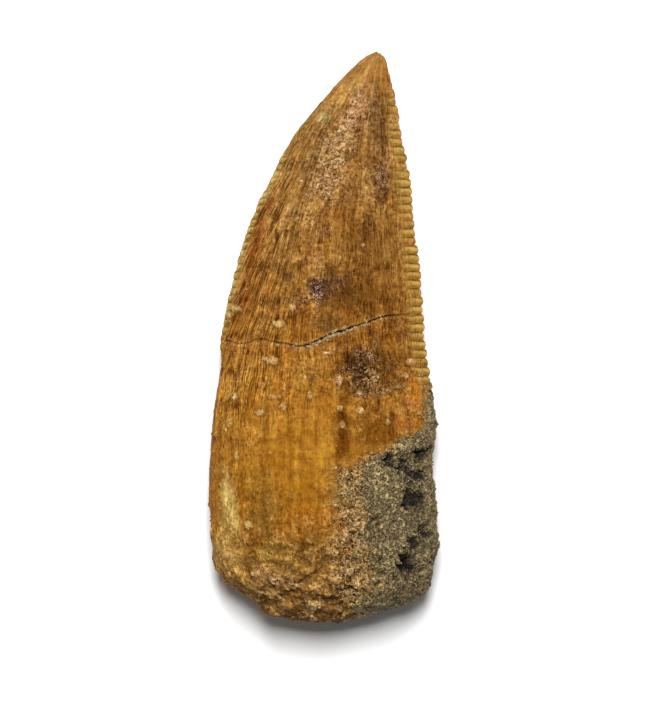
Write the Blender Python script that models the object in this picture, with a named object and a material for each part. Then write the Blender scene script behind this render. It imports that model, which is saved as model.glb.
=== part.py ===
"""Fossil theropod tooth lying on its side, with a crust of sandstone still on it.

Metres, +Z up. +Y runs from the worn base to the tip, +X from the mesial carina
(convex edge) to the distal carina (nearly straight edge). The origin is under
the middle of the bounding box, on the surface that the tooth rests on.
Stations and outline points are in millimetres and are scaled by MM.
"""

import math
import random

import bmesh
import bpy
from mathutils import Vector, noise

MM = 0.001

# Outline of the crown seen from above: (along the tooth, across it), in millimetres
MESIAL_EDGE = [
    (-15.0, -0.9), (-14.8, -1.8), (-14.5, -2.8), (-14.0, -3.4), (-13.4, -4.4),
    (-12.7, -5.3), (-11.8, -5.75), (-8.4, -6.0), (-5.4, -5.88), (-3.8, -5.75),
    (-1.9, -5.43), (0.0, -5.3), (1.9, -4.9), (3.8, -4.42), (5.7, -3.84),
    (7.0, -3.32), (8.2, -2.7), (9.5, -2.1), (10.7, -1.38), (12.0, -0.4),
    (13.3, 0.7), (14.2, 1.58), (14.8, 2.3), (15.0, 2.7),
]
DISTAL_EDGE = [
    (-15.0, 1.0), (-14.7, 2.2), (-14.2, 3.4), (-13.4, 4.5), (-12.4, 5.1),
    (-11.0, 5.45), (-8.0, 5.6), (-5.4, 5.65), (-3.8, 5.56), (-1.9, 5.4),
    (0.0, 5.1), (1.9, 5.02), (3.8, 4.82), (5.7, 4.61), (8.2, 4.34),
    (10.7, 3.95), (12.6, 3.68), (13.9, 3.45), (14.5, 3.33), (14.8, 3.17), (15.0, 2.86),
]
CRUST_EDGE = [
    (-15.0, 1.2), (-14.8, 2.1), (-14.6, 2.95), (-14.3, 3.8), (-14.05, 4.75),
    (-13.4, 5.33), (-12.7, 5.67), (-11.8, 5.88), (-11.1, 6.02), (-9.7, 5.93),
    (-8.4, 5.99), (-7.5, 5.76), (-6.4, 5.7), (-5.0, 5.93), (-3.6, 5.84), (-2.5, 5.62), (0.0, 5.1),
]

# Thickness of the body and height of the underside's keel over the floor: (along, size)
THICKNESS = [
    (-15.0, 2.4), (-14.6, 3.7), (-14.0, 4.8), (-13.0, 5.7), (-11.0, 6.2), (-7.0, 6.1), (-2.0, 5.4),
    (3.0, 4.4), (8.0, 3.1), (11.5, 2.1), (13.5, 1.4), (14.6, 0.9), (15.0, 0.4),
]
KEEL_RISE = [(-15.0, 1.7), (-14.5, 0.8), (-13.5, 0.2), (-12.0, 0.0), (4.0, 0.0), (9.0, 0.35), (15.0, 1.5)]
EDGE_BLUNTNESS = [(-15.0, 0.52), (-10.0, 0.56), (-2.0, 0.66), (6.0, 0.76), (15.0, 0.72)]
SEAT_DEPTH = 0.14
PEAK_SHIFT = 0.12

# Rings of the loft, along the tooth
TIP_RINGS = [14.97, 14.86, 14.6, 14.2]
BASE_RINGS = [-14.97, -14.86, -14.65, -14.35, -13.95, -13.5]
RING_PITCH = 0.84
RING_POINTS = 40
CRUST_RING_PITCH = 0.46
CRUST_RING_POINTS = 72

# Relief that belongs to the form of the tooth. A span of two is where a form starts and where it
# is whole; a span of four adds where it starts to fade and where it is gone
CROWN_SPAN = (-9.0, -3.0)
FLUTE_RISE = 0.05
FLUTE_SPAN = (-3.0, 2.0, 12.0, 13.6)
CARINA_HOLLOW = 0.13
CARINA_HOLLOW_WIDTH = 0.13
DISTAL_HOLLOW_PLACE = 0.78
MESIAL_HOLLOW_PLACE = -0.83
MESIAL_HOLLOW_SHARE = 0.6
THICK_ENOUGH = (0.3, 1.2)
WORN_RISE = 0.32
WORN_GRAIN = 0.9
WORN_SPAN = (-15.2, -14.4, -13.0, -6.0)

# Denticles: the distal row is coarse and the mesial row fine and low
DISTAL_ROW = {
    "start": -3.3, "end": 13.75, "pitch": (0.465, 0.42),
    "rise": 0.15, "run": 0.5, "shoulder": 0.19, "blade": 0.06,
}
MESIAL_ROW = {
    "start": -0.6, "end": 12.3, "pitch": (0.43, 0.38),
    "rise": 0.075, "run": 0.3, "shoulder": 0.14, "blade": 0.05,
}
DENTICLE_FILL = 0.68
DENTICLE_TAPER = 0.8
DENTICLE_LEAN = 0.05
DENTICLE_SIZES = (0.88, 1.08)
WORN_DENTICLES = 2.5
WORN_DENTICLE_LOSS = 0.35
ROOT_SINK = 0.06
EDGE_STEP = 0.01
TANGENT_STEP = 0.05

# The crack across the crown: (across, along)
CRACK_PATH = [
    (-5.9, -0.2), (-5.33, -0.16), (-4.54, -0.37), (-3.96, -0.37), (-3.33, -0.16), (-2.64, -0.26),
    (-2.0, -0.4), (-1.33, -0.5), (-0.75, -0.47), (-0.38, -0.3), (0.04, -0.1), (0.57, 0.16),
    (1.15, 0.32), (1.67, 0.53), (2.5, 0.8), (3.25, 1.03), (4.04, 1.13), (5.14, 1.26), (5.9, 1.3),
]
CRACK_WIDTH = [(-6.0, 0.06), (-1.4, 0.08), (-0.7, 0.17), (1.2, 0.2), (2.9, 0.14), (4.0, 0.07), (6.0, 0.06)]
CRACK_DEPTH = 0.34
CRACK_BLADE_TOP = 0.55
CRACK_BLADE_FLARE = 2.0

# Lumps left on the worn surface: (across, along, size across, size along, rise)
LUMPS = [
    (-2.6, -12.5, 1.0, 0.6, 0.2), (-0.9, -13.3, 0.95, 0.5, 0.2), (1.0, -12.1, 0.8, 0.7, 0.16),
    (-4.2, -11.6, 0.7, 0.8, 0.15), (-2.62, -1.32, 0.42, 0.26, 0.15), (-4.7, 1.1, 0.42, 0.36, 0.14),
    (3.85, -2.75, 0.55, 0.4, 0.15),
]
LUMP_SINK = 0.6

# Sandstone crust: its border on the upper face (along, across), where it ends on the
# underside (inwards from the edge), and how thick it is
CRUST_BORDER = [
    (-16.2, 1.9), (-14.7, 2.1), (-14.3, 1.7), (-13.7, 1.95), (-13.4, 2.6), (-12.8, 2.65), (-12.1, 2.8),
    (-11.5, 2.45), (-11.1, 2.35), (-10.7, 2.0), (-9.9, 1.95), (-9.5, 2.3), (-9.05, 2.1), (-8.3, 1.85),
    (-7.6, 1.9), (-6.9, 2.1), (-6.4, 2.45), (-6.1, 3.2), (-5.5, 4.0), (-5.1, 5.05), (-4.9, 5.2),
    (-3.2, 5.3), (-2.5, 5.45), (-2.2, 5.9),
]
CRUST_UNDER = [(-16.2, 3.2), (-13.0, 1.9), (-9.0, 1.2), (-6.0, 0.6), (-2.2, 0.3)]
CRUST_THICKNESS = [
    (-16.2, 6.5), (-14.0, 6.0), (-13.0, 1.9), (-10.0, 1.25), (-6.0, 1.0), (-4.8, 0.55), (-2.2, 0.35),
]
CRUST_STEP = 0.4
CRUST_BEND = 0.5
CRUST_UNDERCUT = 1.0
CRUST_END_REACH = 2.4
CRUST_PROUD = 0.12
CRUST_RISE = 0.22
CRUST_GRAIN = 1.25
CRUST_EDGE_CALM = 0.6
CRUST_EDGE_WIDTH = 0.12
CRUST_RINGS = (-16.2, -2.2, 0.5)
BLOCK_REACH = 9.0
BLOCK_FLOOR = -2.0
GAP = 0.3

# Pits weathered into the crust: (across, along, radius, depth)
PITS = [
    (5.2, -6.2, 0.34, 0.5), (3.35, -6.58, 0.26, 0.34), (4.05, -6.9, 0.3, 0.45), (4.83, -7.42, 0.36, 0.5),
    (4.62, -8.6, 0.5, 0.6), (5.42, -10.15, 0.36, 0.5), (4.5, -11.1, 0.42, 0.55),
    (4.58, -12.2, 0.42, 0.5), (5.5, -11.5, 0.28, 0.4), (4.6, -13.85, 0.32, 0.36),
]

# How uneven the lumps and pits are, and from which size on they get finer facets
RAGGED = 0.34
LARGE_BLOB = 0.38
PIT_LENGTH = 1.15

# Hollow worn into the broken end of the root
END_HOLLOW = {"at": (0.0, -15.55, 2.3), "size": (2.1, 1.15, 1.15)}

ENAMEL = {"colour": (0.40, 0.19, 0.045, 1.0), "roughness": 0.38}
SANDSTONE = {"colour": (0.21, 0.16, 0.09, 1.0), "roughness": 0.92}


def through(points, at):
    """Height at `at` of the smooth curve through the points."""
    if at <= points[0][0]:
        return points[0][1]
    if at >= points[-1][0]:
        return points[-1][1]
    i = max(k for k in range(len(points) - 1) if points[k][0] <= at)

    def slope(k):
        before, after = points[max(k - 1, 0)], points[min(k + 1, len(points) - 1)]
        return (after[1] - before[1]) / (after[0] - before[0])

    (x0, y0), (x1, y1) = points[i], points[i + 1]
    span = x1 - x0
    t = (at - x0) / span
    return (
        (2 * t**3 - 3 * t**2 + 1) * y0
        + (t**3 - 2 * t**2 + t) * span * slope(i)
        + (3 * t**2 - 2 * t**3) * y1
        + (t**3 - t**2) * span * slope(i + 1)
    )


def ramp(at, start, end):
    """0 before start, 1 after end, smooth between."""
    t = min(max((at - start) / (end - start), 0.0), 1.0)
    return t * t * (3 - 2 * t)


def bump(at, centre, width):
    """1 at the centre, falling to nothing about two widths away."""
    return math.exp(-(((at - centre) / width) ** 2))


def middle_height(y):
    """Height of the plane through the two carinae."""
    return through(KEEL_RISE, y) + through(THICKNESS, y) / 2 - SEAT_DEPTH


def face_rise(y, lean):
    """How far a face stands from the middle plane, where lean runs from -1 (mesial) to 1 (distal)."""
    half = through(THICKNESS, y) / 2
    rise = half * max(1 - lean * lean, 0.0) ** through(EDGE_BLUNTNESS, y)
    fade = ramp(y, *CROWN_SPAN) * ramp(half, *THICK_ENOUGH)
    hollow = bump(lean, DISTAL_HOLLOW_PLACE, CARINA_HOLLOW_WIDTH)
    hollow += MESIAL_HOLLOW_SHARE * bump(lean, MESIAL_HOLLOW_PLACE, CARINA_HOLLOW_WIDTH)
    return rise - CARINA_HOLLOW * fade * hollow


def across(y, lean, distal):
    """Place across the tooth of a lean, on a section that ends at the given distal edge."""
    left, right = through(MESIAL_EDGE, y), through(distal, y)
    return (left + right) / 2 + (right - left) / 2 * (lean - PEAK_SHIFT * (1 - lean * lean))


def lean_at(y, x, distal=DISTAL_EDGE):
    """The lean whose point lies at x across the tooth."""
    left, right = through(MESIAL_EDGE, y), through(distal, y)
    share = (x - (left + right) / 2) / ((right - left) / 2)
    root = max(1 + 4 * PEAK_SHIFT * (PEAK_SHIFT + share), 0.0)
    return min(max((math.sqrt(root) - 1) / (2 * PEAK_SHIFT), -1.0), 1.0)


def face_height(x, y, side, distal=DISTAL_EDGE):
    """Height of the upper (side 1) or lower (side -1) face over a place in plan."""
    return middle_height(y) + side * face_rise(y, lean_at(y, x, distal))


def finish(name, mesh_builder, look=None):
    """Turn a bmesh into a named object in metres; a look gives it a material of its own."""
    bmesh.ops.recalc_face_normals(mesh_builder, faces=mesh_builder.faces)
    bmesh.ops.triangulate(mesh_builder, faces=mesh_builder.faces)
    mesh = bpy.data.meshes.new(name)
    mesh_builder.to_mesh(mesh)
    mesh_builder.free()
    mesh.shade_smooth()
    obj = bpy.data.objects.new(name, mesh)
    bpy.context.collection.objects.link(obj)
    if look:
        material = bpy.data.materials.new(name)
        material.use_nodes = True
        shader = material.node_tree.nodes["Principled BSDF"]
        shader.inputs["Base Color"].default_value = look["colour"]
        shader.inputs["Roughness"].default_value = look["roughness"]
        shader.inputs["Metallic"].default_value = 0.0
        mesh.materials.append(material)
    return obj


def as_cutter(obj):
    """Mark an object as construction: it shapes other objects and isn't part of the tooth."""
    obj.hide_render = True
    obj.display_type = "WIRE"
    return obj


def boolean(target, tool, operation):
    """Add an exact boolean modifier to the target."""
    modifier = target.modifiers.new(tool.name, "BOOLEAN")
    modifier.operation = operation
    modifier.solver = "EXACT"
    modifier.object = tool


def closed_loft(rings):
    """A closed body through rings of equal length, with a flat face on each end."""
    body = bmesh.new()
    loops = [[body.verts.new(Vector(point) * MM) for point in ring] for ring in rings]
    for lower, upper in zip(loops, loops[1:]):
        for i in range(len(lower)):
            j = (i + 1) % len(lower)
            body.faces.new((lower[i], lower[j], upper[j], upper[i]))
    body.faces.new(loops[0])
    body.faces.new(loops[-1])
    return body


def stations(pitch):
    """Places of the rings along the tooth: evenly spaced, and closer at both ends."""
    first, last = BASE_RINGS[-1], TIP_RINGS[-1]
    steps = round((last - first) / pitch)
    inner = [first + (last - first) * k / steps for k in range(1, steps)]
    return BASE_RINGS + inner + TIP_RINGS[::-1]


def ring_lean(y, k, count):
    """Lean and side of point k of a ring: evenly spread on the crown, crowded to the edges at the base."""
    angle = 2 * math.pi * k / count
    turn = k / count * 4
    even = 1 - turn if turn <= 2 else turn - 3
    share = ramp(y, *CROWN_SPAN)
    side = 1 if k <= count // 2 else -1
    return (1 - share) * math.cos(angle) + share * even, side


def tooth_ring(y, count):
    """One lens-shaped section: fluted on the crown, lumpy towards the worn base."""
    flute = FLUTE_RISE * ramp(y, *FLUTE_SPAN[:2]) * (1 - ramp(y, *FLUTE_SPAN[2:]))
    worn = WORN_RISE * ramp(y, *WORN_SPAN[:2]) * (1 - ramp(y, *WORN_SPAN[2:]))
    middle = middle_height(y)
    ring = []
    for k in range(count):
        angle = 2 * math.pi * k / count
        lean, side = ring_lean(y, k, count)
        x = across(y, lean, DISTAL_EDGE)
        z = middle + side * face_rise(y, lean)
        z += side * flute * (1 if k % 2 else -1) * (1 - abs(lean))
        out = Vector((math.cos(angle), 0, math.sin(angle)))
        push = worn * noise.noise(Vector((x, y, z)) * WORN_GRAIN)
        x, z = x + out.x * push, z + out.z * push
        ring.append((x, y, max(z, 0.0)))
    return ring


def crust_ring(y, count):
    """A section of the body with the sandstone on it: wider on the distal side, and lumpy."""
    middle = middle_height(y)
    ring = []
    for k in range(count):
        angle = 2 * math.pi * k / count
        lean, side = math.cos(angle), math.copysign(1, math.sin(angle))
        x = across(y, lean, CRUST_EDGE)
        z = middle + side * (face_rise(y, lean) + CRUST_PROUD)
        out = Vector((math.cos(angle), 0, math.sin(angle)))
        uneven = noise.fractal(Vector((x, y, z)) * CRUST_GRAIN, 0.7, 2.1, 3)
        push = CRUST_RISE * uneven * (1 - CRUST_EDGE_CALM * bump(abs(lean), 1.0, CRUST_EDGE_WIDTH))
        ring.append((x + out.x * push, y, max(z + out.z * push, GAP)))
    return ring


def crust_block():
    """The room that the sandstone takes: a bent sheet below its border, closed far outside the tooth."""
    first, last, pitch = CRUST_RINGS
    rings = []
    for k in range(round((last - first) / pitch) + 1):
        y = first + k * pitch
        border, edge = through(CRUST_BORDER, y), through(CRUST_EDGE, y)
        deep = through(CRUST_THICKNESS, y)
        under = max(edge, CRUST_END_REACH) - through(CRUST_UNDER, y)
        top = face_height(border, y, 1)
        halfway = border + CRUST_BEND * (under - border)
        floor = min(face_height(halfway, y, 1), top) - deep
        corner = min(middle_height(y) - min(deep, CRUST_UNDERCUT), floor - 0.1)
        rings.append([
            (border, y, BLOCK_REACH),
            (border, y, top - min(CRUST_STEP, deep / 2)),
            (halfway, y, floor),
            (under, y, corner),
            (under, y, BLOCK_FLOOR),
            (BLOCK_REACH, y, BLOCK_FLOOR),
            (BLOCK_REACH, y, BLOCK_REACH),
        ])
    return closed_loft(rings)


def walk_edge(row, edge):
    """Places along an edge, one denticle pitch apart measured on the curve."""
    places, y = [], row["start"]
    while y < row["end"]:
        places.append(y)
        share = (y - row["start"]) / (row["end"] - row["start"])
        wanted = row["pitch"][0] + (row["pitch"][1] - row["pitch"][0]) * share
        travelled = 0.0
        while travelled < wanted:
            travelled += math.hypot(EDGE_STEP, through(edge, y + EDGE_STEP) - through(edge, y))
            y += EDGE_STEP
    return places


def add_denticle(body, row, edge, outwards, y, size):
    """A chisel on the edge: a lifted ridge on both faces that meets in a blunt cutting edge."""
    here = Vector((through(edge, y), y, 0))
    ahead = Vector((through(edge, y + TANGENT_STEP), y + TANGENT_STEP, 0))
    along = (ahead - here).normalized()
    out = Vector((along.y, -along.x, 0)) * outwards
    length, run, rise = row["pitch"][0] * DENTICLE_FILL, row["run"] * size, row["rise"] * size
    loops = []
    for end in (-0.5, 0.5):
        loop = []
        for side in (1, -1):
            profile = [(run, None), (0.0, row["shoulder"]), (-rise, row["blade"])]
            for inwards, half in profile[::side]:
                narrow = 1.0 if inwards > 0 else DENTICLE_TAPER
                place = here - out * inwards + along * (end * length * narrow)
                if inwards <= 0:
                    place += along * DENTICLE_LEAN
                if half is None:
                    half = face_rise(y, lean_at(y, through(edge, y) - outwards * inwards)) - ROOT_SINK
                loop.append((place.x, place.y, middle_height(y) + side * half))
        loops.append(loop)
    block = closed_loft(loops)
    mesh = bpy.data.meshes.new("denticle")
    block.to_mesh(mesh)
    block.free()
    body.from_mesh(mesh)
    bpy.data.meshes.remove(mesh)


def denticle_row(name, row, edge, outwards, seed):
    """All denticles of one edge as a single cutter, worn down where the row starts."""
    chance = random.Random(seed)
    body = bmesh.new()
    for y in walk_edge(row, edge):
        worn = 1 - WORN_DENTICLE_LOSS * (1 - ramp(y, row["start"], row["start"] + WORN_DENTICLES))
        add_denticle(body, row, edge, outwards, y, worn * chance.uniform(*DENTICLE_SIZES))
    return as_cutter(finish(name, body))


def crack_groove():
    """A V-shaped blade that follows the crack just below the upper face."""
    rings = []
    for x, y in CRACK_PATH:
        half, top = through(CRACK_WIDTH, x) * CRACK_BLADE_FLARE, face_height(x, y, 1)
        rings.append([
            (x, y - half, top + CRACK_BLADE_TOP),
            (x, y + half, top + CRACK_BLADE_TOP),
            (x, y, top - CRACK_DEPTH),
        ])
    return as_cutter(finish("crack_groove", closed_loft(rings)))


def blobs(name, places):
    """Flattened round bodies: each at a place, with a size along each axis."""
    body = bmesh.new()
    for place, size in places:
        fineness = 2 if max(size) > LARGE_BLOB else 1
        made = bmesh.ops.create_icosphere(body, subdivisions=fineness, radius=MM)
        for vert in made["verts"]:
            ragged = 1 + RAGGED * noise.noise(vert.co / MM + Vector(place))
            scaled = [vert.co[i] * size[i] * ragged for i in range(3)]
            vert.co = Vector(scaled) + Vector(place) * MM
    return as_cutter(finish(name, body))


def surface_lumps():
    """The lumps that stand on the upper face, mostly sunk into it."""
    places = []
    for x, y, wide, long, rise in LUMPS:
        height = face_height(x, y, 1) - rise * LUMP_SINK
        places.append(((x, y, height), (wide, long, rise * (1 + LUMP_SINK))))
    return blobs("lumps", places)


def surface_pits():
    """The pits weathered into the upper face of the sandstone."""
    places = []
    for x, y, radius, depth in PITS:
        height = face_height(x, y, 1, CRUST_EDGE) + CRUST_PROUD
        places.append(((x, y, height), (radius, radius * PIT_LENGTH, depth)))
    return blobs("pits", places)


def build_tooth(block):
    """The tooth: one solid with its denticles, lumps, crack and worn end, less the room of the crust."""
    body = closed_loft([tooth_ring(y, RING_POINTS) for y in stations(RING_PITCH)])
    tooth = finish("tooth", body, ENAMEL)
    room = as_cutter(bpy.data.objects.new("crust_room", block.data.copy()))
    bpy.context.collection.objects.link(room)
    widen = room.modifiers.new("gap", "DISPLACE")
    widen.strength = GAP * MM
    widen.mid_level = 0.0
    hollow = blobs("end_hollow", [(END_HOLLOW["at"], END_HOLLOW["size"])])
    boolean(tooth, denticle_row("distal_denticles", DISTAL_ROW, DISTAL_EDGE, 1, 3), "UNION")
    boolean(tooth, denticle_row("mesial_denticles", MESIAL_ROW, MESIAL_EDGE, -1, 8), "UNION")
    boolean(tooth, surface_lumps(), "UNION")
    boolean(tooth, hollow, "DIFFERENCE")
    boolean(tooth, crack_groove(), "DIFFERENCE")
    boolean(tooth, room, "DIFFERENCE")
    return tooth


def build_matrix(block):
    """The sandstone crust: the part of the lumpy body inside the block, pitted."""
    body = closed_loft([crust_ring(y, CRUST_RING_POINTS) for y in stations(CRUST_RING_PITCH)])
    matrix = finish("matrix", body, SANDSTONE)
    boolean(matrix, block, "INTERSECT")
    boolean(matrix, surface_pits(), "DIFFERENCE")
    return matrix


def main():
    """Clear the file and build both pieces."""
    for obj in list(bpy.data.objects):
        bpy.data.objects.remove(obj)
    block = as_cutter(finish("crust_block", crust_block()))
    build_tooth(block)
    build_matrix(block)


main()
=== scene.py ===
"""Looks of a fossil tooth that lies on its side with some of its sandstone still on it.

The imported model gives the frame: metres, +Z up, +Y towards the tip, +X towards the
serrated distal edge. Every size below is in millimetres unless its name says
otherwise, and is turned into metres by MM where a mesh or a node takes it.
"""

import logging
import math
import random
from collections.abc import Callable
from dataclasses import dataclass, field
from enum import Enum

import bpy
import numpy as np
from mathutils import Matrix, Vector, noise


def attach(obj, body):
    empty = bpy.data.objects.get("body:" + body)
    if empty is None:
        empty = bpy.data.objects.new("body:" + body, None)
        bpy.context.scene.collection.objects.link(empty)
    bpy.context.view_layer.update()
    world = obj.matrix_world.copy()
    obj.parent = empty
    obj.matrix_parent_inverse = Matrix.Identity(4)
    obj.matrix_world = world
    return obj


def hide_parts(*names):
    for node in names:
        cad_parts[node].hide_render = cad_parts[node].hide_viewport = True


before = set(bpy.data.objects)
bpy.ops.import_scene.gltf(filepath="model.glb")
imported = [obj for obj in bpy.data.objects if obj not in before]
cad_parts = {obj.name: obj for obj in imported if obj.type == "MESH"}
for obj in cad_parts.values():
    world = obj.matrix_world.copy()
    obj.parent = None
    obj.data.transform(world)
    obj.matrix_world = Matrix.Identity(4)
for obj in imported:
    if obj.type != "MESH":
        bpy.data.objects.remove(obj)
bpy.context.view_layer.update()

MM = 0.001
BODY = "root"

Points = list[tuple[float, float]]
Colour = tuple[float, float, float]

log = logging.getLogger("fossil_tooth")


class Slot(Enum):
    """The material slots."""

    ENAMEL = "enamel"
    SANDSTONE = "sandstone"


class Face(Enum):
    """The two broad faces of the tooth, as the sign of their side of the middle plane."""

    UPPER = 1
    LOWER = -1


def through(points: Points, at: np.ndarray) -> np.ndarray:
    """Read a smooth curve through a few points.

    Args:
        points: the curve's own points, by rising first number.
        at: where to read it.

    Returns:
        The second number of the curve at each place, held flat past both ends.
    """
    xs, ys = np.array(points, float).T
    slopes = np.empty_like(ys)
    slopes[1:-1] = (ys[2:] - ys[:-2]) / (xs[2:] - xs[:-2])
    slopes[0] = (ys[1] - ys[0]) / (xs[1] - xs[0])
    slopes[-1] = (ys[-1] - ys[-2]) / (xs[-1] - xs[-2])
    at = np.clip(at, xs[0], xs[-1])
    i = np.clip(np.searchsorted(xs, at, side="right") - 1, 0, len(xs) - 2)
    span = xs[i + 1] - xs[i]
    t = (at - xs[i]) / span
    return (
        (2 * t**3 - 3 * t**2 + 1) * ys[i]
        + (t**3 - 2 * t**2 + t) * span * slopes[i]
        + (3 * t**2 - 2 * t**3) * ys[i + 1]
        + (t**3 - t**2) * span * slopes[i + 1]
    )


def ramp(at: np.ndarray, start: float, end: float) -> np.ndarray:
    """Rise smoothly from 0 at start to 1 at end."""
    t = np.clip((at - start) / (end - start), 0.0, 1.0)
    return t * t * (3 - 2 * t)


def bell(at: np.ndarray, centre: float, width: float) -> np.ndarray:
    """A bell of height 1 round a centre."""
    return np.exp(-(((at - centre) / width) ** 2))


def lay_over(tint: np.ndarray, cover: np.ndarray, colour: Colour) -> np.ndarray:
    """Cover colours with another one.

    Args:
        tint: linear colours, one a row.
        cover: how much of each is covered, from 0 to 1.
        colour: what covers them.

    Returns:
        The new colours.
    """
    share = cover[:, None]
    return tint * (1 - share) + np.array(colour) * share


def coherent(points: np.ndarray, scale: float | tuple[float, float, float], octaves: int = 1) -> np.ndarray:
    """Smooth noise at many points.

    Args:
        points: one point a row, in millimetres.
        scale: waves per millimetre, for all axes or for each.
        octaves: how many finer waves are laid over the first.

    Returns:
        The noise, mostly within -1 and 1.
    """
    places = points * np.array(scale, float)
    if octaves == 1:
        return np.array([noise.noise(Vector(p)) for p in places])
    return np.array([noise.fractal(Vector(p), 0.7, 2.1, octaves) for p in places])


@dataclass(frozen=True)
class ToothForm:
    """The sections of the tooth, with the same driving sizes as the solids."""

    mesial: Points = field(default_factory=lambda: [
        (-15.0, -0.9), (-14.8, -1.8), (-14.5, -2.8), (-14.0, -3.4), (-13.4, -4.4),
        (-12.7, -5.3), (-11.8, -5.75), (-8.4, -6.0), (-5.4, -5.88), (-3.8, -5.75),
        (-1.9, -5.43), (0.0, -5.3), (1.9, -4.9), (3.8, -4.42), (5.7, -3.84),
        (7.0, -3.32), (8.2, -2.7), (9.5, -2.1), (10.7, -1.38), (12.0, -0.4),
        (13.3, 0.7), (14.2, 1.58), (14.8, 2.3), (15.0, 2.7),
    ])
    distal: Points = field(default_factory=lambda: [
        (-15.0, 1.0), (-14.7, 2.2), (-14.2, 3.4), (-13.4, 4.5), (-12.4, 5.1),
        (-11.0, 5.45), (-8.0, 5.6), (-5.4, 5.65), (-3.8, 5.56), (-1.9, 5.4),
        (0.0, 5.1), (1.9, 5.02), (3.8, 4.82), (5.7, 4.61), (8.2, 4.34),
        (10.7, 3.95), (12.6, 3.68), (13.9, 3.45), (14.5, 3.33), (14.8, 3.17), (15.0, 2.86),
    ])
    crusted: Points = field(default_factory=lambda: [
        (-15.0, 1.2), (-14.8, 2.1), (-14.6, 2.95), (-14.3, 3.8), (-14.05, 4.75),
        (-13.4, 5.33), (-12.7, 5.67), (-11.8, 5.88), (-11.1, 6.02), (-9.7, 5.93),
        (-8.4, 5.99), (-7.5, 5.76), (-6.4, 5.7), (-5.0, 5.93), (-3.6, 5.84), (-2.5, 5.62), (0.0, 5.1),
    ])
    thickness: Points = field(default_factory=lambda: [
        (-15.0, 2.4), (-14.6, 3.7), (-14.0, 4.8), (-13.0, 5.7), (-11.0, 6.2), (-7.0, 6.1), (-2.0, 5.4),
        (3.0, 4.4), (8.0, 3.1), (11.5, 2.1), (13.5, 1.4), (14.6, 0.9), (15.0, 0.4),
    ])
    keel: Points = field(default_factory=lambda: [
        (-15.0, 1.7), (-14.5, 0.8), (-13.5, 0.2), (-12.0, 0.0), (4.0, 0.0), (9.0, 0.35), (15.0, 1.5),
    ])
    bluntness: Points = field(default_factory=lambda: [
        (-15.0, 0.52), (-10.0, 0.56), (-2.0, 0.66), (6.0, 0.76), (15.0, 0.72),
    ])
    seat: float = 0.14
    peak_shift: float = 0.12
    hollow: float = 0.13
    hollow_place: float = 0.78
    hollow_width: float = 0.13
    worn_rise: float = 0.32
    worn_grain: float = 0.9

    def middle(self, y: np.ndarray) -> np.ndarray:
        """Height of the plane through the two edges."""
        return through(self.keel, y) + through(self.thickness, y) / 2 - self.seat

    def rise(self, y: np.ndarray, lean: np.ndarray) -> np.ndarray:
        """How far a face stands from the middle plane.

        Args:
            y: place along the tooth.
            lean: place across it, from -1 on the mesial edge to 1 on the distal edge.

        Returns:
            The distance, always positive away from the edges.
        """
        half = through(self.thickness, y) / 2
        lens = half * np.clip(1 - lean * lean, 0, None) ** through(self.bluntness, y)
        fade = ramp(y, -9.0, -3.0) * ramp(half, 0.3, 1.2)
        dent = bell(lean, self.hollow_place, self.hollow_width)
        dent += 0.6 * bell(lean, -self.hollow_place - 0.05, self.hollow_width)
        return lens - self.hollow * fade * dent

    def across(self, y: np.ndarray, lean: np.ndarray, outer: Points) -> np.ndarray:
        """The x of a lean, for the bare distal edge or the crusted one."""
        left, right = through(self.mesial, y), through(outer, y)
        return (left + right) / 2 + (right - left) / 2 * (lean - self.peak_shift * (1 - lean * lean))

    def lean_at(self, y: np.ndarray, x: np.ndarray, outer: Points) -> np.ndarray:
        """The lean whose point lies at x."""
        left, right = through(self.mesial, y), through(outer, y)
        share = (x - (left + right) / 2) / ((right - left) / 2)
        root = np.clip(1 + 4 * self.peak_shift * (self.peak_shift + share), 0, None)
        return np.clip((np.sqrt(root) - 1) / (2 * self.peak_shift), -1, 1)

    def worn_push(self, points: np.ndarray) -> np.ndarray:
        """Lumps of the worn base, which fade out towards the crown."""
        y = points[:, 1]
        reach = self.worn_rise * (1 - ramp(y, -13.0, -6.0)) * ramp(y, -15.2, -14.4)
        return reach * coherent(points, self.worn_grain)


FORM = ToothForm()


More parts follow.
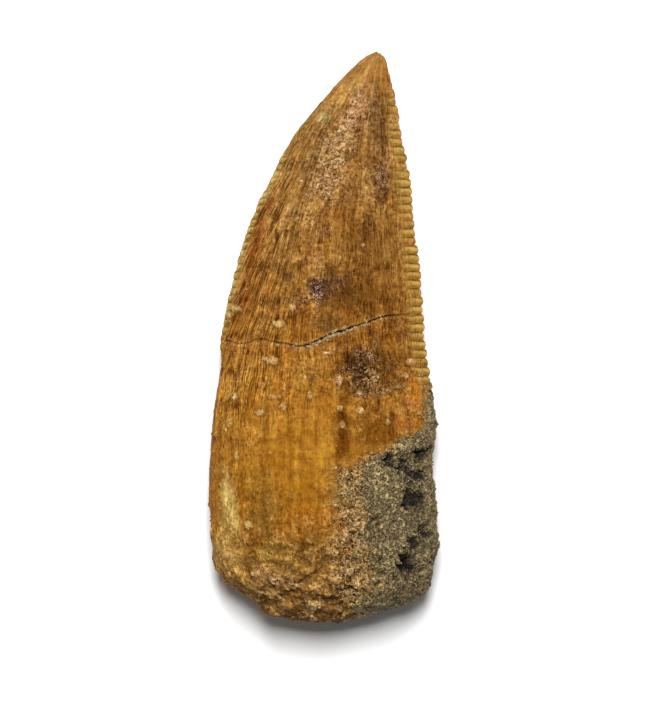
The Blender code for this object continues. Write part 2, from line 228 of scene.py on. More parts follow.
@dataclass(frozen=True)
class Crack:
    """The break that runs across the crown: a gap in the middle and a hairline to both edges."""

    level: float = 0.35
    path: Points = field(default_factory=lambda: [
        (-5.9, -0.2), (-5.33, -0.16), (-4.54, -0.37), (-3.96, -0.37), (-3.33, -0.16), (-2.64, -0.26),
        (-2.0, -0.4), (-1.33, -0.5), (-0.75, -0.47), (-0.38, -0.3), (0.04, -0.1), (0.57, 0.16),
        (1.15, 0.32), (1.67, 0.53), (2.5, 0.8), (3.25, 1.03), (4.04, 1.13), (5.14, 1.26), (5.9, 1.3),
    ])
    width: Points = field(default_factory=lambda: [
        (-6.0, 0.06), (-1.4, 0.07), (-0.7, 0.11), (0.4, 0.13),
        (1.4, 0.12), (2.9, 0.09), (4.0, 0.06), (6.0, 0.05),
    ])
    depth: Points = field(default_factory=lambda: [
        (-6.0, 0.09), (-1.4, 0.13), (-0.6, 0.36), (2.8, 0.36), (3.6, 0.14), (6.0, 0.1),
    ])
    reach: float = 2.2
    dense_zone: float = 0.17
    dense_step: float = 0.017
    jag: float = 0.05
    lower_width: float = 0.05
    lower_depth: float = 0.06
    open_depth: float = 0.36
    full_shade_depth: float = 0.2

    def bend(self, y: np.ndarray, x: np.ndarray) -> np.ndarray:
        """Shift rows near the crack's level so that one of them lies on its jagged path."""
        hold = 1 - ramp(np.abs(y - self.level), self.dense_zone + 0.08, self.reach)
        jag = self.jag * np.array([noise.fractal(Vector((v * 2.6, 1.7, 0.2)), 0.6, 2.3, 3) for v in x])
        close = 1 - ramp(np.abs(y - self.level), self.dense_zone, self.dense_zone + 0.6)
        return y + (through(self.path, x) - self.level) * hold + jag * close

    def cut(self, offset: np.ndarray, x: np.ndarray, side: np.ndarray) -> np.ndarray:
        """How deep the crack is at an offset from its path.

        Args:
            offset: distance from the path along the tooth.
            x: place across the tooth.
            side: 1 on the upper face and -1 on the lower face, where it is a hairline only.

        Returns:
            The depth, 0 outside the crack.
        """
        ragged = 1 + 1.3 * np.array([noise.fractal(Vector((v * 4.2, 0.3, 0.7)), 0.6, 2.2, 2) for v in x])
        open_here = np.where(side > 0, through(self.width, x), self.lower_width) * np.clip(ragged, 0.3, 1.8)
        deep = np.where(side > 0, through(self.depth, x), self.lower_depth)
        return deep * np.clip(1 - np.abs(offset) / (open_here / 2), 0, 1) ** 0.6


CRACK = Crack()


@dataclass(frozen=True)
class Stain:
    """One patch of colour on a face, at a place and a size in plan."""

    x: float
    y: float
    wide: float
    long: float
    colour: Colour
    strength: float = 0.8
    turn: float = 0.0
    ragged: float = 0.35

    def mask(self, points: np.ndarray, wobble: np.ndarray) -> np.ndarray:
        """Soft-edged cover of the patch over points, with its border broken up by a shared noise."""
        angle = math.radians(self.turn)
        dx, dy = points[:, 0] - self.x, points[:, 1] - self.y
        u = (dx * math.cos(angle) + dy * math.sin(angle)) / self.wide
        v = (-dx * math.sin(angle) + dy * math.cos(angle)) / self.long
        return self.strength * (1 - ramp(np.hypot(u, v) + self.ragged * wobble, 0.35, 1.15))


@dataclass(frozen=True)
class Flake:
    """A crumb of clay or enamel that stands on a face."""

    x: float
    y: float
    wide: float
    long: float
    rise: float
    colour: Colour


CREAM: Colour = (0.60, 0.44, 0.24)
PALE_CLAY: Colour = (0.58, 0.42, 0.25)
HONEY: Colour = (0.41, 0.19, 0.022)
BRONZE: Colour = (0.27, 0.115, 0.026)
RUST: Colour = (0.23, 0.072, 0.014)
UMBER: Colour = (0.13, 0.052, 0.014)
MAUVE: Colour = (0.085, 0.038, 0.034)
ROSE_TAN: Colour = (0.54, 0.33, 0.21)
OLIVE_TAN: Colour = (0.30, 0.19, 0.05)
# Painted shade in the crack, darker the deeper it goes.
CRACK_SHADOW: Colour = (0.07, 0.04, 0.018)
BUFF: Colour = (0.46, 0.34, 0.17)


@dataclass
class EnamelPainter:
    """Colours any point of the tooth by zones and stains."""

    down_the_crown: list[tuple[float, Colour]] = field(default_factory=lambda: [
        (15.0, (0.56, 0.29, 0.11)), (13.0, (0.48, 0.26, 0.10)), (10.5, (0.355, 0.19, 0.07)),
        (7.0, (0.35, 0.182, 0.06)), (4.0, (0.33, 0.165, 0.05)), (1.5, (0.32, 0.15, 0.036)),
        (-1.0, (0.33, 0.148, 0.03)), (-4.0, (0.37, 0.175, 0.032)), (-7.0, (0.37, 0.175, 0.026)),
        (-9.5, (0.34, 0.145, 0.018)), (-12.0, (0.27, 0.125, 0.022)), (-15.0, (0.16, 0.078, 0.018)),
    ])
    # Paler colour along the thin mesial edge: painted light shining through the thin enamel.
    thin_edge_light: Colour = (0.56, 0.48, 0.27)
    upper: list[Stain] = field(default_factory=lambda: [
        Stain(2.95, 14.4, 0.5, 0.6, (0.50, 0.26, 0.10), 0.8),
        Stain(3.3, 13.5, 0.26, 1.1, (0.42, 0.15, 0.04), 0.75),
        # Pale gold band along the mesial edge near the tip: partly its own colour, partly painted highlight
        # on that facet.
        Stain(1.35, 13.1, 0.42, 2.2, (0.72, 0.46, 0.2), 0.85, -42),
        Stain(1.95, 12.9, 0.14, 1.7, (0.36, 0.14, 0.03), 0.7, -40),
        Stain(2.85, 11.6, 0.6, 1.9, (0.14, 0.065, 0.024), 0.85, -6),
        Stain(1.75, 12.1, 0.6, 1.7, (0.52, 0.31, 0.21), 0.8, -28),
        Stain(1.2, 10.6, 0.75, 1.3, (0.44, 0.26, 0.16), 0.7, -20),
        Stain(0.0, 11.5, 0.5, 0.4, (0.50, 0.40, 0.22), 0.85),
        Stain(-0.1, 8.7, 0.9, 2.2, (0.38, 0.225, 0.11), 0.7, -24),
        Stain(-1.8, 6.0, 1.4, 1.8, (0.45, 0.25, 0.095), 0.6, -20),
        Stain(0.95, 7.5, 0.7, 1.2, (0.28, 0.15, 0.055), 0.55),
        Stain(2.6, 9.2, 0.8, 1.9, (0.2, 0.092, 0.03), 0.7, -4),
        Stain(3.1, 8.15, 0.48, 1.3, (0.11, 0.042, 0.026), 0.8, 0, 0.6),
        Stain(3.15, 10.0, 0.16, 1.6, UMBER, 0.6),
        Stain(-2.9, 6.9, 0.42, 0.6, RUST, 0.85, -30),
        Stain(-3.55, 4.6, 0.4, 2.2, (0.26, 0.075, 0.014), 0.75, -14),
        Stain(-4.3, 0.6, 0.9, 1.4, (0.27, 0.11, 0.022), 0.6),
        Stain(1.9, 2.2, 2.2, 1.9, (0.125, 0.047, 0.006), 0.85, 12),
        Stain(1.6, 6.8, 1.2, 2.0, (0.26, 0.13, 0.04), 0.55, -8),
        Stain(2.4, 4.6, 1.4, 2.6, (0.18, 0.075, 0.016), 0.75, -4),
        Stain(0.5, 2.5, 1.3, 1.2, (0.11, 0.042, 0.012), 0.7),
        Stain(0.4, 0.6, 1.1, 0.75, (0.12, 0.05, 0.01), 0.8),
        Stain(-4.0, 2.3, 0.45, 1.6, (0.25, 0.09, 0.018), 0.55, -14),
        Stain(-1.9, 5.5, 0.26, 0.1, UMBER, 0.8, 10, 0.1),
        Stain(-1.8, 2.3, 0.8, 0.7, (0.22, 0.1, 0.025), 0.55),
        Stain(-1.8, 3.05, 0.42, 0.4, MAUVE, 0.75),
        Stain(-0.25, 2.42, 0.85, 0.6, (0.06, 0.026, 0.026), 0.97, -20),
        Stain(0.75, 2.8, 0.42, 0.3, MAUVE, 0.7),
        Stain(-1.3, 1.35, 0.45, 0.36, (0.2, 0.08, 0.025), 0.7),
        Stain(2.45, -1.6, 2.4, 2.1, (0.108, 0.037, 0.003), 0.9),
        Stain(1.85, -1.65, 0.8, 1.1, (0.043, 0.016, 0.005), 0.88),
        Stain(3.2, 0.1, 1.6, 1.0, (0.2, 0.078, 0.01), 0.65),
        Stain(-0.7, -1.8, 0.9, 0.9, (0.44, 0.235, 0.065), 0.6),
        Stain(4.85, -2.9, 0.34, 1.0, (0.44, 0.155, 0.014), 0.85, 6),
        Stain(4.4, -3.7, 0.6, 0.5, (0.34, 0.16, 0.07), 0.7),
        Stain(4.1, -4.5, 0.9, 0.5, (0.42, 0.16, 0.05), 0.7),
        Stain(-1.3, -6.4, 2.1, 3.0, HONEY, 0.8),
        Stain(0.2, -4.4, 0.5, 1.8, (0.45, 0.20, 0.026), 0.6),
        Stain(1.0, -5.0, 0.6, 2.1, (0.14, 0.045, 0.002), 0.92),
        Stain(2.9, -4.8, 1.3, 1.3, (0.16, 0.058, 0.006), 0.85),
        Stain(-3.2, -8.4, 0.9, 2.2, (0.24, 0.11, 0.016), 0.65),
        Stain(-4.6, -5.6, 0.9, 1.5, (0.35, 0.16, 0.035), 0.5),
        Stain(-0.9, -6.37, 1.8, 0.07, (0.21, 0.085, 0.012), 0.7, -1, 0.05),
        Stain(-1.2, -6.05, 1.4, 0.06, (0.52, 0.30, 0.09), 0.5, 1, 0.05),
        Stain(-1.0, -8.3, 1.2, 1.0, (0.3, 0.125, 0.008), 0.5),
        Stain(-0.6, -11.3, 1.5, 1.1, (0.145, 0.06, 0.003), 0.8),
        Stain(-5.0, -8.7, 0.62, 2.1, (0.62, 0.47, 0.22), 0.85, 6),
        Stain(-4.9, -11.0, 1.1, 1.8, (0.50, 0.33, 0.13), 0.8, 4),
        Stain(-4.0, -12.7, 1.0, 0.8, (0.34, 0.19, 0.05), 0.6),
        Stain(1.45, -11.9, 1.0, 1.0, (0.10, 0.05, 0.02), 0.8),
        Stain(-3.1, -9.2, 1.0, 1.6, (0.22, 0.125, 0.03), 0.7),
        Stain(-2.4, -11.4, 1.2, 0.9, (0.26, 0.155, 0.022), 0.7),
        Stain(0.9, -8.3, 0.9, 1.7, (0.24, 0.12, 0.035), 0.6),
        Stain(-2.3, -12.7, 1.3, 0.7, (0.32, 0.19, 0.09), 0.75),
        Stain(-1.6, -11.9, 0.8, 0.5, (0.40, 0.24, 0.035), 0.7),
        Stain(-3.6, -11.4, 0.8, 0.5, (0.40, 0.25, 0.05), 0.6),
        Stain(0.9, -13.3, 0.9, 0.55, (0.11, 0.055, 0.018), 0.8),
        Stain(0.3, -14.1, 1.6, 0.4, (0.20, 0.11, 0.03), 0.6),
    ])
    lower: list[Stain] = field(default_factory=lambda: [
        Stain(1.0, 9.0, 0.8, 2.4, RUST, 0.5, -20),
        Stain(-1.6, 4.0, 0.8, 1.6, UMBER, 0.6, -12),
        Stain(2.6, 1.0, 1.2, 2.2, ROSE_TAN, 0.5),
        Stain(-3.2, -2.6, 1.1, 1.8, RUST, 0.6),
        Stain(0.6, -5.4, 1.9, 2.6, HONEY, 0.7),
        Stain(3.4, -7.6, 1.0, 1.6, BRONZE, 0.6),
        Stain(-3.6, -8.6, 1.0, 2.0, (0.50, 0.33, 0.10), 0.6),
        Stain(0.4, -11.4, 1.7, 1.2, OLIVE_TAN, 0.6),
    ])

    def paint(self, points: np.ndarray, side: np.ndarray) -> np.ndarray:
        """Colour of each point before grooves and dust.

        Args:
            points: places in millimetres, one a row.
            side: 1 where a point is on the upper face and -1 on the lower.

        Returns:
            Linear red, green and blue, one row a point.
        """
        wobble = coherent(points, 1.9, 3)
        y = points[:, 1] + 0.5 * coherent(points + 31.0, 0.45)
        levels, colours = zip(*sorted(self.down_the_crown))
        tint = np.stack([np.interp(y, levels, channel) for channel in zip(*colours)], axis=1)
        in_from_edge = points[:, 0] - through(FORM.mesial, points[:, 1])
        # Painted light: the thin mesial edge is paler, as if light shone through it.
        edge_light = (1 - ramp(in_from_edge, 0.05, 0.3)) * ramp(y, -0.5, 2.0) * (1 - ramp(y, 12.2, 13.0))
        edge_light = edge_light * np.clip(0.6 + 0.8 * wobble, 0, 0.8)
        for stains, face in ((self.upper, Face.UPPER), (self.lower, Face.LOWER)):
            here = (side * face.value > 0).astype(float)
            for stain in stains:
                tint = lay_over(tint, stain.mask(points, wobble) * here, stain.colour)
        return lay_over(tint, edge_light, self.thin_edge_light)


FLAKES = [
    Flake(-2.64, -1.3, 0.38, 0.22, 0.12, (0.66, 0.44, 0.28)),
    Flake(-3.0, -1.2, 0.2, 0.1, 0.05, PALE_CLAY),
    Flake(0.83, -2.32, 0.17, 0.32, 0.12, (0.60, 0.38, 0.26)),
    Flake(4.6, -1.37, 0.26, 0.16, 0.11, (0.62, 0.36, 0.25)),
    Flake(-4.5, 1.42, 0.28, 0.2, 0.13, (0.66, 0.52, 0.32)),
    Flake(-4.85, 1.0, 0.2, 0.2, 0.12, PALE_CLAY),
    Flake(-2.33, 0.63, 0.32, 0.17, 0.07, (0.6, 0.42, 0.24)),
    Flake(-1.59, 1.42, 0.16, 0.12, 0.06, ROSE_TAN),
    Flake(-4.64, -3.2, 0.2, 0.24, 0.12, PALE_CLAY),
    Flake(0.88, -3.79, 0.17, 0.16, 0.1, CREAM),
    Flake(2.78, -2.16, 0.2, 0.12, 0.08, CREAM),
    Flake(3.36, -4.53, 0.15, 0.15, 0.08, CREAM),
    Flake(0.99, -4.6, 0.16, 0.2, 0.06, ROSE_TAN),
    Flake(-1.17, 8.1, 0.12, 0.12, 0.07, CREAM),
    Flake(2.09, 4.79, 0.12, 0.12, 0.08, CREAM),
    Flake(3.9, -2.7, 0.34, 0.2, 0.1, (0.24, 0.15, 0.08)),
    Flake(0.85, 10.7, 0.14, 0.2, 0.05, CREAM),
    Flake(1.7, 12.4, 0.14, 0.14, 0.05, CREAM),
    Flake(-3.5, -12.4, 0.3, 0.22, 0.1, ROSE_TAN),
    Flake(-0.5, -14.0, 0.5, 0.24, 0.1, PALE_CLAY),
    Flake(-2.4, -12.7, 0.4, 0.3, 0.14, ROSE_TAN),
    Flake(-1.6, -13.0, 0.3, 0.26, 0.14, ROSE_TAN),
    Flake(2.7, -2.25, 0.2, 0.14, 0.08, PALE_CLAY),
    Flake(-3.3, -4.0, 0.26, 0.14, 0.06, ROSE_TAN),
    Flake(-2.5, -3.2, 0.34, 0.12, 0.05, (0.5, 0.27, 0.14)),
    Flake(0.2, -0.9, 0.16, 0.1, 0.06, (0.56, 0.36, 0.2)),
    Flake(-4.9, -4.6, 0.18, 0.24, 0.08, (0.54, 0.36, 0.17)),
    Flake(-4.5, -6.3, 0.12, 0.2, 0.08, (0.5, 0.34, 0.17)),
    Flake(-3.9, -9.9, 0.22, 0.22, 0.1, (0.5, 0.36, 0.18)),
    Flake(1.9, -3.9, 0.22, 0.18, 0.1, (0.56, 0.36, 0.2)),
    Flake(3.3, -2.9, 0.26, 0.14, 0.09, (0.32, 0.19, 0.1)),
    Flake(-0.7, -3.1, 0.14, 0.3, 0.05, (0.5, 0.3, 0.15)),
    Flake(2.0, -3.0, 0.3, 0.16, 0.09, (0.3, 0.17, 0.09)),
    Flake(4.3, -2.1, 0.2, 0.14, 0.09, (0.5, 0.3, 0.18)),
    Flake(1.1, -7.3, 0.34, 0.26, 0.16, BUFF),
    Flake(1.25, -8.1, 0.36, 0.3, 0.16, BUFF),
    Flake(1.6, -9.8, 0.34, 0.42, 0.16, BUFF),
    Flake(1.7, -11.4, 0.32, 0.4, 0.15, BUFF),
    Flake(1.75, -13.1, 0.2, 0.36, 0.12, BUFF),
    Flake(0.9, -10.6, 0.26, 0.2, 0.1, BUFF),
    Flake(0.7, -8.7, 0.2, 0.2, 0.1, CREAM),
    Flake(2.3, -6.4, 0.36, 0.2, 0.12, BUFF),
    Flake(-2.1, -3.7, 0.28, 0.12, 0.05, ROSE_TAN),
    Flake(-0.6, -2.2, 0.2, 0.14, 0.05, (0.2, 0.1, 0.05)),
]


def select_only(obj: bpy.types.Object) -> None:
    """Make one object the only selected and active one."""
    bpy.ops.object.select_all(action="DESELECT")
    obj.select_set(True)
    bpy.context.view_layer.objects.active = obj


def places_of(obj: bpy.types.Object) -> np.ndarray:
    """Vertex places in millimetres, one a row."""
    flat = np.empty(len(obj.data.vertices) * 3)
    obj.data.vertices.foreach_get("co", flat)
    return flat.reshape(-1, 3) / MM


def move_to(obj: bpy.types.Object, points: np.ndarray) -> None:
    """Write vertex places given in millimetres."""
    obj.data.vertices.foreach_set("co", (points * MM).astype(np.float32).ravel())
    obj.data.update()


def normals_of(obj: bpy.types.Object) -> np.ndarray:
    """Vertex normals, one a row."""
    flat = np.empty(len(obj.data.vertices) * 3)
    obj.data.vertices.foreach_get("normal", flat)
    return flat.reshape(-1, 3)


def write_colour(obj: bpy.types.Object, name: str, values: np.ndarray) -> None:
    """Store linear colours, or three masks, as a point attribute."""
    layer = obj.data.color_attributes.new(name, "FLOAT_COLOR", "POINT")
    rgba = np.ones((len(values), 4), np.float32)
    rgba[:, :3] = np.clip(values, 0, 1)
    layer.data.foreach_set("color", rgba.ravel())


def write_vector(obj: bpy.types.Object, name: str, values: np.ndarray) -> None:
    """Store one vector a vertex."""
    layer = obj.data.attributes.new(name, "FLOAT_VECTOR", "POINT")
    layer.data.foreach_set("vector", values.astype(np.float32).ravel())


def wrapped_grid(name: str, columns: int, rows: int) -> tuple[bpy.types.Object, np.ndarray, np.ndarray]:
    """Add a plane of many faces, to be wrapped round the sections of a body.

    Args:
        name: the new object's name.
        columns: faces around the body.
        rows: faces along it.

    Returns:
        The object, and the column and row number of each vertex.
    """
    bpy.ops.object.select_all(action="DESELECT")
    bpy.ops.mesh.primitive_grid_add(x_subdivisions=columns, y_subdivisions=rows, size=2.0, location=(0, 0, 0))
    obj = bpy.context.active_object
    obj.name = obj.data.name = name
    flat = places_of(obj) * MM
    column = np.rint((flat[:, 0] + 1) / 2 * columns).astype(int)
    row = np.rint((flat[:, 1] + 1) / 2 * rows).astype(int)
    return obj, column, row


def close_and_turn_out(obj: bpy.types.Object) -> None:
    """Merge the seam of a wrapped grid, close its ends and turn its faces outwards."""
    select_only(obj)
    bpy.ops.object.mode_set(mode="EDIT")
    bpy.ops.mesh.select_all(action="SELECT")
    bpy.ops.mesh.remove_doubles(threshold=1e-7)
    bpy.ops.mesh.select_all(action="SELECT")
    bpy.ops.mesh.fill_holes(sides=0)
    bpy.ops.mesh.select_all(action="SELECT")
    bpy.ops.mesh.normals_make_consistent(inside=False)
    bpy.ops.object.mode_set(mode="OBJECT")
    bpy.ops.object.shade_smooth()


class Nodes:
    """A short way to write a node tree."""

    def __init__(self, tree: bpy.types.NodeTree) -> None:
        """Start on a tree."""
        self.tree = tree

    def add(self, kind: str, **settings: object) -> bpy.types.Node:
        """Add a node and set its properties."""
        node = self.tree.nodes.new(kind)
        for name, value in settings.items():
            setattr(node, name, value)
        return node

    def feed(self, target: bpy.types.NodeSocket, source: object) -> None:
        """Link a socket into another, or set its value."""
        if isinstance(source, bpy.types.NodeSocket):
            self.tree.links.new(source, target)
        elif isinstance(source, tuple) and len(source) == 3 and target.type == "RGBA":
            target.default_value = (*source, 1.0)
        else:
            target.default_value = source

    def math(self, operation: str, a: object, b: object = 0.0, clamp: bool = False) -> bpy.types.NodeSocket:
        """One arithmetic step."""
        node = self.add("ShaderNodeMath", operation=operation, use_clamp=clamp)
        self.feed(node.inputs[0], a)
        self.feed(node.inputs[1], b)
        return node.outputs[0]

    def times(self, a: object, b: object, clamp: bool = False) -> bpy.types.NodeSocket:
        """Multiply two values, and hold the result between 0 and 1 if asked."""
        return self.math("MULTIPLY", a, b, clamp)

    def plus(self, a: object, b: object) -> bpy.types.NodeSocket:
        """Add two values."""
        return self.math("ADD", a, b)

    def minus(self, a: object, b: object) -> bpy.types.NodeSocket:
        """Take the second value from the first."""
        return self.math("SUBTRACT", a, b)

    def apart(self, a: object, b: object) -> bpy.types.NodeSocket:
        """The distance between two values."""
        return self.math("ABSOLUTE", self.minus(a, b))

    def stretch(
        self, value: object, low: float, high: float, to_low: float = 0.0, to_high: float = 1.0
    ) -> bpy.types.NodeSocket:
        """Map a range smoothly onto another, held at its ends."""
        node = self.add("ShaderNodeMapRange", interpolation_type="SMOOTHSTEP")
        for socket, given in zip(node.inputs, (value, low, high, to_low, to_high)):
            self.feed(socket, given)
        return node.outputs[0]

    def blend(self, share: object, a: object, b: object) -> bpy.types.NodeSocket:
        """Mix two values."""
        node = self.add("ShaderNodeMix", data_type="FLOAT")
        for socket, value in zip((node.inputs[0], node.inputs[2], node.inputs[3]), (share, a, b)):
            self.feed(socket, value)
        return node.outputs[0]

    def mix(self, share: object, a: object, b: object, blend: str = "MIX") -> bpy.types.NodeSocket:
        """Mix two colours."""
        node = self.add("ShaderNodeMix", data_type="RGBA", blend_type=blend)
        self.feed(node.inputs["Factor"], share)
        self.feed(node.inputs[6], a)
        self.feed(node.inputs[7], b)
        return node.outputs[2]

    def tone(self, share: object, shade: object, colour: object) -> bpy.types.NodeSocket:
        """Multiply a colour by another, by a share."""
        return self.mix(share, shade, colour, "MULTIPLY")

    def noise(
        self, vector: object, scale: object, detail: float = 2.0, rough: float = 0.5
    ) -> bpy.types.NodeSocket:
        """Noise of a scale, in waves per metre for object coordinates."""
        node = self.add("ShaderNodeTexNoise")
        self.feed(node.inputs["Vector"], vector)
        self.feed(node.inputs["Scale"], scale)
        node.inputs["Detail"].default_value = detail
        node.inputs["Roughness"].default_value = rough
        return node.outputs["Fac"]

    def cells(self, vector: object, scale: object) -> bpy.types.bpy_prop_collection:
        """Divide space into cells of a scale, and give the node's outputs."""
        node = self.add("ShaderNodeTexVoronoi", feature="F1")
        self.feed(node.inputs["Vector"], vector)
        self.feed(node.inputs["Scale"], scale)
        return node.outputs

    def ramp(self, value: object, stops: list[tuple[float, Colour]]) -> bpy.types.NodeSocket:
        """Turn a value into a colour through a few stops."""
        node = self.add("ShaderNodeValToRGB")
        elements = node.color_ramp.elements
        for i, (place, colour) in enumerate(stops):
            stop = elements[i] if i < 2 else elements.new(place)
            stop.position = place
            stop.color = (*colour, 1.0)
        self.feed(node.inputs["Fac"], value)
        return node.outputs["Color"]

    def lottery(self, number: object) -> bpy.types.NodeSocket:
        """A random value for each whole number."""
        node = self.add("ShaderNodeTexWhiteNoise", noise_dimensions="1D")
        self.feed(node.inputs["W"], number)
        return node.outputs["Value"]

    def split(self, source: object, kind: str = "ShaderNodeSeparateColor") -> bpy.types.bpy_prop_collection:
        """Take a colour, or a vector with the other kind of node, apart."""
        node = self.add(kind)
        self.feed(node.inputs[0], source)
        return node.outputs

    def group(self, tree: bpy.types.NodeTree, **given: object) -> bpy.types.bpy_prop_collection:
        """Use a shared group, with its inputs by name, and give its outputs."""
        node = self.add("ShaderNodeGroup", node_tree=tree)
        for name, value in given.items():
            self.feed(node.inputs[name], value)
        return node.outputs

    def attribute(self, name: str) -> bpy.types.bpy_prop_collection:
        """Read a point attribute."""
        return self.add("ShaderNodeAttribute", attribute_name=name).outputs

    def bump(self, height: object, distance: float, under: object = None) -> bpy.types.NodeSocket:
        """Raise a height of a size in millimetres, on top of another normal if one is given."""
        node = self.add("ShaderNodeBump")
        node.inputs["Distance"].default_value = distance * MM
        self.feed(node.inputs["Height"], height)
        if under:
            self.feed(node.inputs["Normal"], under)
        return node.outputs["Normal"]


VECTOR_SOCKET = "NodeSocketVector"
NUMBER_SOCKET = "NodeSocketFloat"
SPLIT_VECTOR = "ShaderNodeSeparateXYZ"
MIDDLE = 0.5


def start_group(
    name: str, inputs: dict[str, str], outputs: tuple[str, ...]
) -> tuple[bpy.types.NodeTree, Nodes, bpy.types.bpy_prop_collection, bpy.types.bpy_prop_collection]:
    """Start a shared node group.

    Args:
        name: the group's name.
        inputs: the kind of each input, by its name.
        outputs: the outputs' names, each for a number.

    Returns:
        The group, what writes its tree, the sockets that it is given and those that it makes.
    """
    group = bpy.data.node_groups.new(name, "ShaderNodeTree")
    for socket, kind in inputs.items():
        group.interface.new_socket(socket, in_out="INPUT", socket_type=kind)
    for socket in outputs:
        group.interface.new_socket(socket, in_out="OUTPUT", socket_type=NUMBER_SOCKET)
    pen = Nodes(group)
    given, made = pen.add("NodeGroupInput"), pen.add("NodeGroupOutput")
    return group, pen, given.outputs, made.inputs


def start_material(
    name: str,
) -> tuple[bpy.types.Material, Nodes, bpy.types.bpy_prop_collection, bpy.types.NodeSocket]:
    """Start a material.

    Args:
        name: the material's name.

    Returns:
        The material, what writes its tree, its shader's inputs and the object coordinates.
    """
    material = bpy.data.materials.new(name)
    material.use_nodes = True
    pen = Nodes(material.node_tree)
    shader = material.node_tree.nodes["Principled BSDF"]
    return material, pen, shader.inputs, pen.add("ShaderNodeTexCoord").outputs["Object"]


def build_grit_group() -> bpy.types.NodeTree:
    """Fine mineral grit, shared by enamel and rock.

    Returns:
        A group that takes object coordinates, a grain size in waves per metre and an amount,
        and puts out a height, a mask of pale glints and a mask of dark pits.
    """
    inputs = {"Place": VECTOR_SOCKET, "Grain": NUMBER_SOCKET, "Amount": NUMBER_SOCKET}
    group, pen, given, made = start_group("mineral_grit", inputs, ("Height", "Glint", "Pit"))
    finer_share, grain_height, finer_height = 0.55, 0.6, 0.9
    grains = pen.cells(given["Place"], given["Grain"])
    finer = pen.noise(given["Place"], pen.times(given["Grain"], finer_share), 3.0, 0.7)
    round_top = pen.stretch(grains["Distance"], 0.0, 0.75, 1.0, 0.0)
    height = pen.plus(pen.times(round_top, grain_height), pen.times(finer, finer_height))
    pen.feed(made["Height"], pen.times(height, given["Amount"]))
    lucky = pen.stretch(pen.split(grains["Color"])[0], 0.86, 0.93)
    glint = pen.times(lucky, pen.stretch(grains["Distance"], 0.18, 0.42, 1.0, 0.0))
    pen.feed(made["Glint"], pen.times(glint, given["Amount"], clamp=True))
    pit = pen.stretch(finer, 0.30, 0.42, 1.0, 0.0)
    pen.feed(made["Pit"], pen.times(pit, given["Amount"], clamp=True))
    return group


def build_fibre_group() -> bpy.types.NodeTree:
    """Fine wrinkles that run along the tooth, split and join, and come and go.

    Returns:
        A group that takes the flow coordinates, object coordinates and an amount, and puts out
        a relief, below 0 in the grooves and above 0 between them, and a mask of wider streaks.
    """
    inputs = {"Flow": VECTOR_SOCKET, "Place": VECTOR_SOCKET, "Amount": NUMBER_SOCKET}
    group, pen, given, made = start_group("fibre_wrinkles", inputs, ("Relief", "Streak"))
    place = given["Place"]
    sway_waves, sway_reach = 700.0, 2.0
    ripple_waves, ripple_reach = 2100.0, 0.6
    crown_narrows = (4.0 * MM, 8.0 * MM)
    deep_scale, thin_scale, streak_scale, hair_scale = 1.0, 1.7, 0.42, 2.0

    sway = pen.times(pen.minus(pen.noise(place, sway_waves, 1.0), MIDDLE), sway_reach)
    ripple = pen.times(pen.minus(pen.noise(place, ripple_waves, 1.0), MIDDLE), ripple_reach)
    aside = pen.add("ShaderNodeCombineXYZ")
    pen.feed(aside.inputs["X"], pen.plus(sway, ripple))
    wavy = pen.add("ShaderNodeVectorMath", operation="ADD")
    pen.feed(wavy.inputs[0], given["Flow"])
    pen.feed(wavy.inputs[1], aside.outputs[0])
    lanes = wavy.outputs[0]

    narrow = pen.stretch(pen.split(place, SPLIT_VECTOR)["Y"], *crown_narrows)
    deep, thin, streak = (
        pen.blend(narrow, pen.noise(lanes, scale, 0.3), pen.noise(lanes, scale * 0.5, 0.3))
        for scale in (deep_scale, thin_scale, streak_scale)
    )
    come_and_go = pen.stretch(pen.noise(place, 1300.0, 2.0), 0.38, 0.56, 0.35, 1.0)
    deep = pen.stretch(pen.apart(deep, MIDDLE), 0.01, 0.1, -1.0, 0.6)
    thin = pen.stretch(pen.apart(thin, MIDDLE), 0.0, 0.05, -0.55, 0.1)
    held = pen.times(come_and_go, given["Amount"])
    hairs = pen.stretch(pen.apart(pen.noise(lanes, hair_scale, 1.0, 0.6), MIDDLE), 0.0, 0.13, -0.5, 0.6)
    hairs = pen.times(hairs, pen.stretch(held, 0.05, 0.8, 0.25, 0.6))
    pen.feed(made["Relief"], pen.plus(pen.times(pen.plus(deep, thin), held), hairs))
    pen.feed(made["Streak"], pen.stretch(streak, 0.56, 0.38))
    return group


def build_crust_group() -> bpy.types.NodeTree:
    """A thin mineral crust: grains ringed by seams, with bright curved lines here and there that the
    materials paint as highlights.

    Returns:
        A group that takes object coordinates and an amount, and puts out a relief, below 0 in the seams and
        above 0 on the grains, and a mask of the bright curved lines for painted highlights.
    """
    inputs = {"Place": VECTOR_SOCKET, "Amount": NUMBER_SOCKET}
    group, pen, given, made = start_group("mineral_crust", inputs, ("Relief", "Highlight"))
    place, amount = given["Place"], given["Amount"]
    body_waves, ring_waves, patch_waves = 4700.0, 6900.0, 1900.0
    body, rings = pen.noise(place, body_waves, 1.5), pen.noise(place, ring_waves, 1.0)
    patches = pen.stretch(pen.noise(place, patch_waves, 2.0, 0.6), 0.42, 0.58, 0.2, 1.0)
    seam = pen.stretch(pen.apart(body, 0.47), 0.008, 0.06, -0.75, 0.1)
    # Bright curved lines, painted as highlights where the mask is used.
    rim = pen.stretch(pen.apart(rings, 0.55), 0.006, 0.045, 1.0, 0.0)
    rise = pen.plus(seam, pen.stretch(body, 0.4, 0.66, -0.3, 0.6))
    pen.feed(made["Relief"], pen.times(rise, amount))
    pen.feed(made["Highlight"], pen.times(pen.times(rim, patches), amount))
    return group


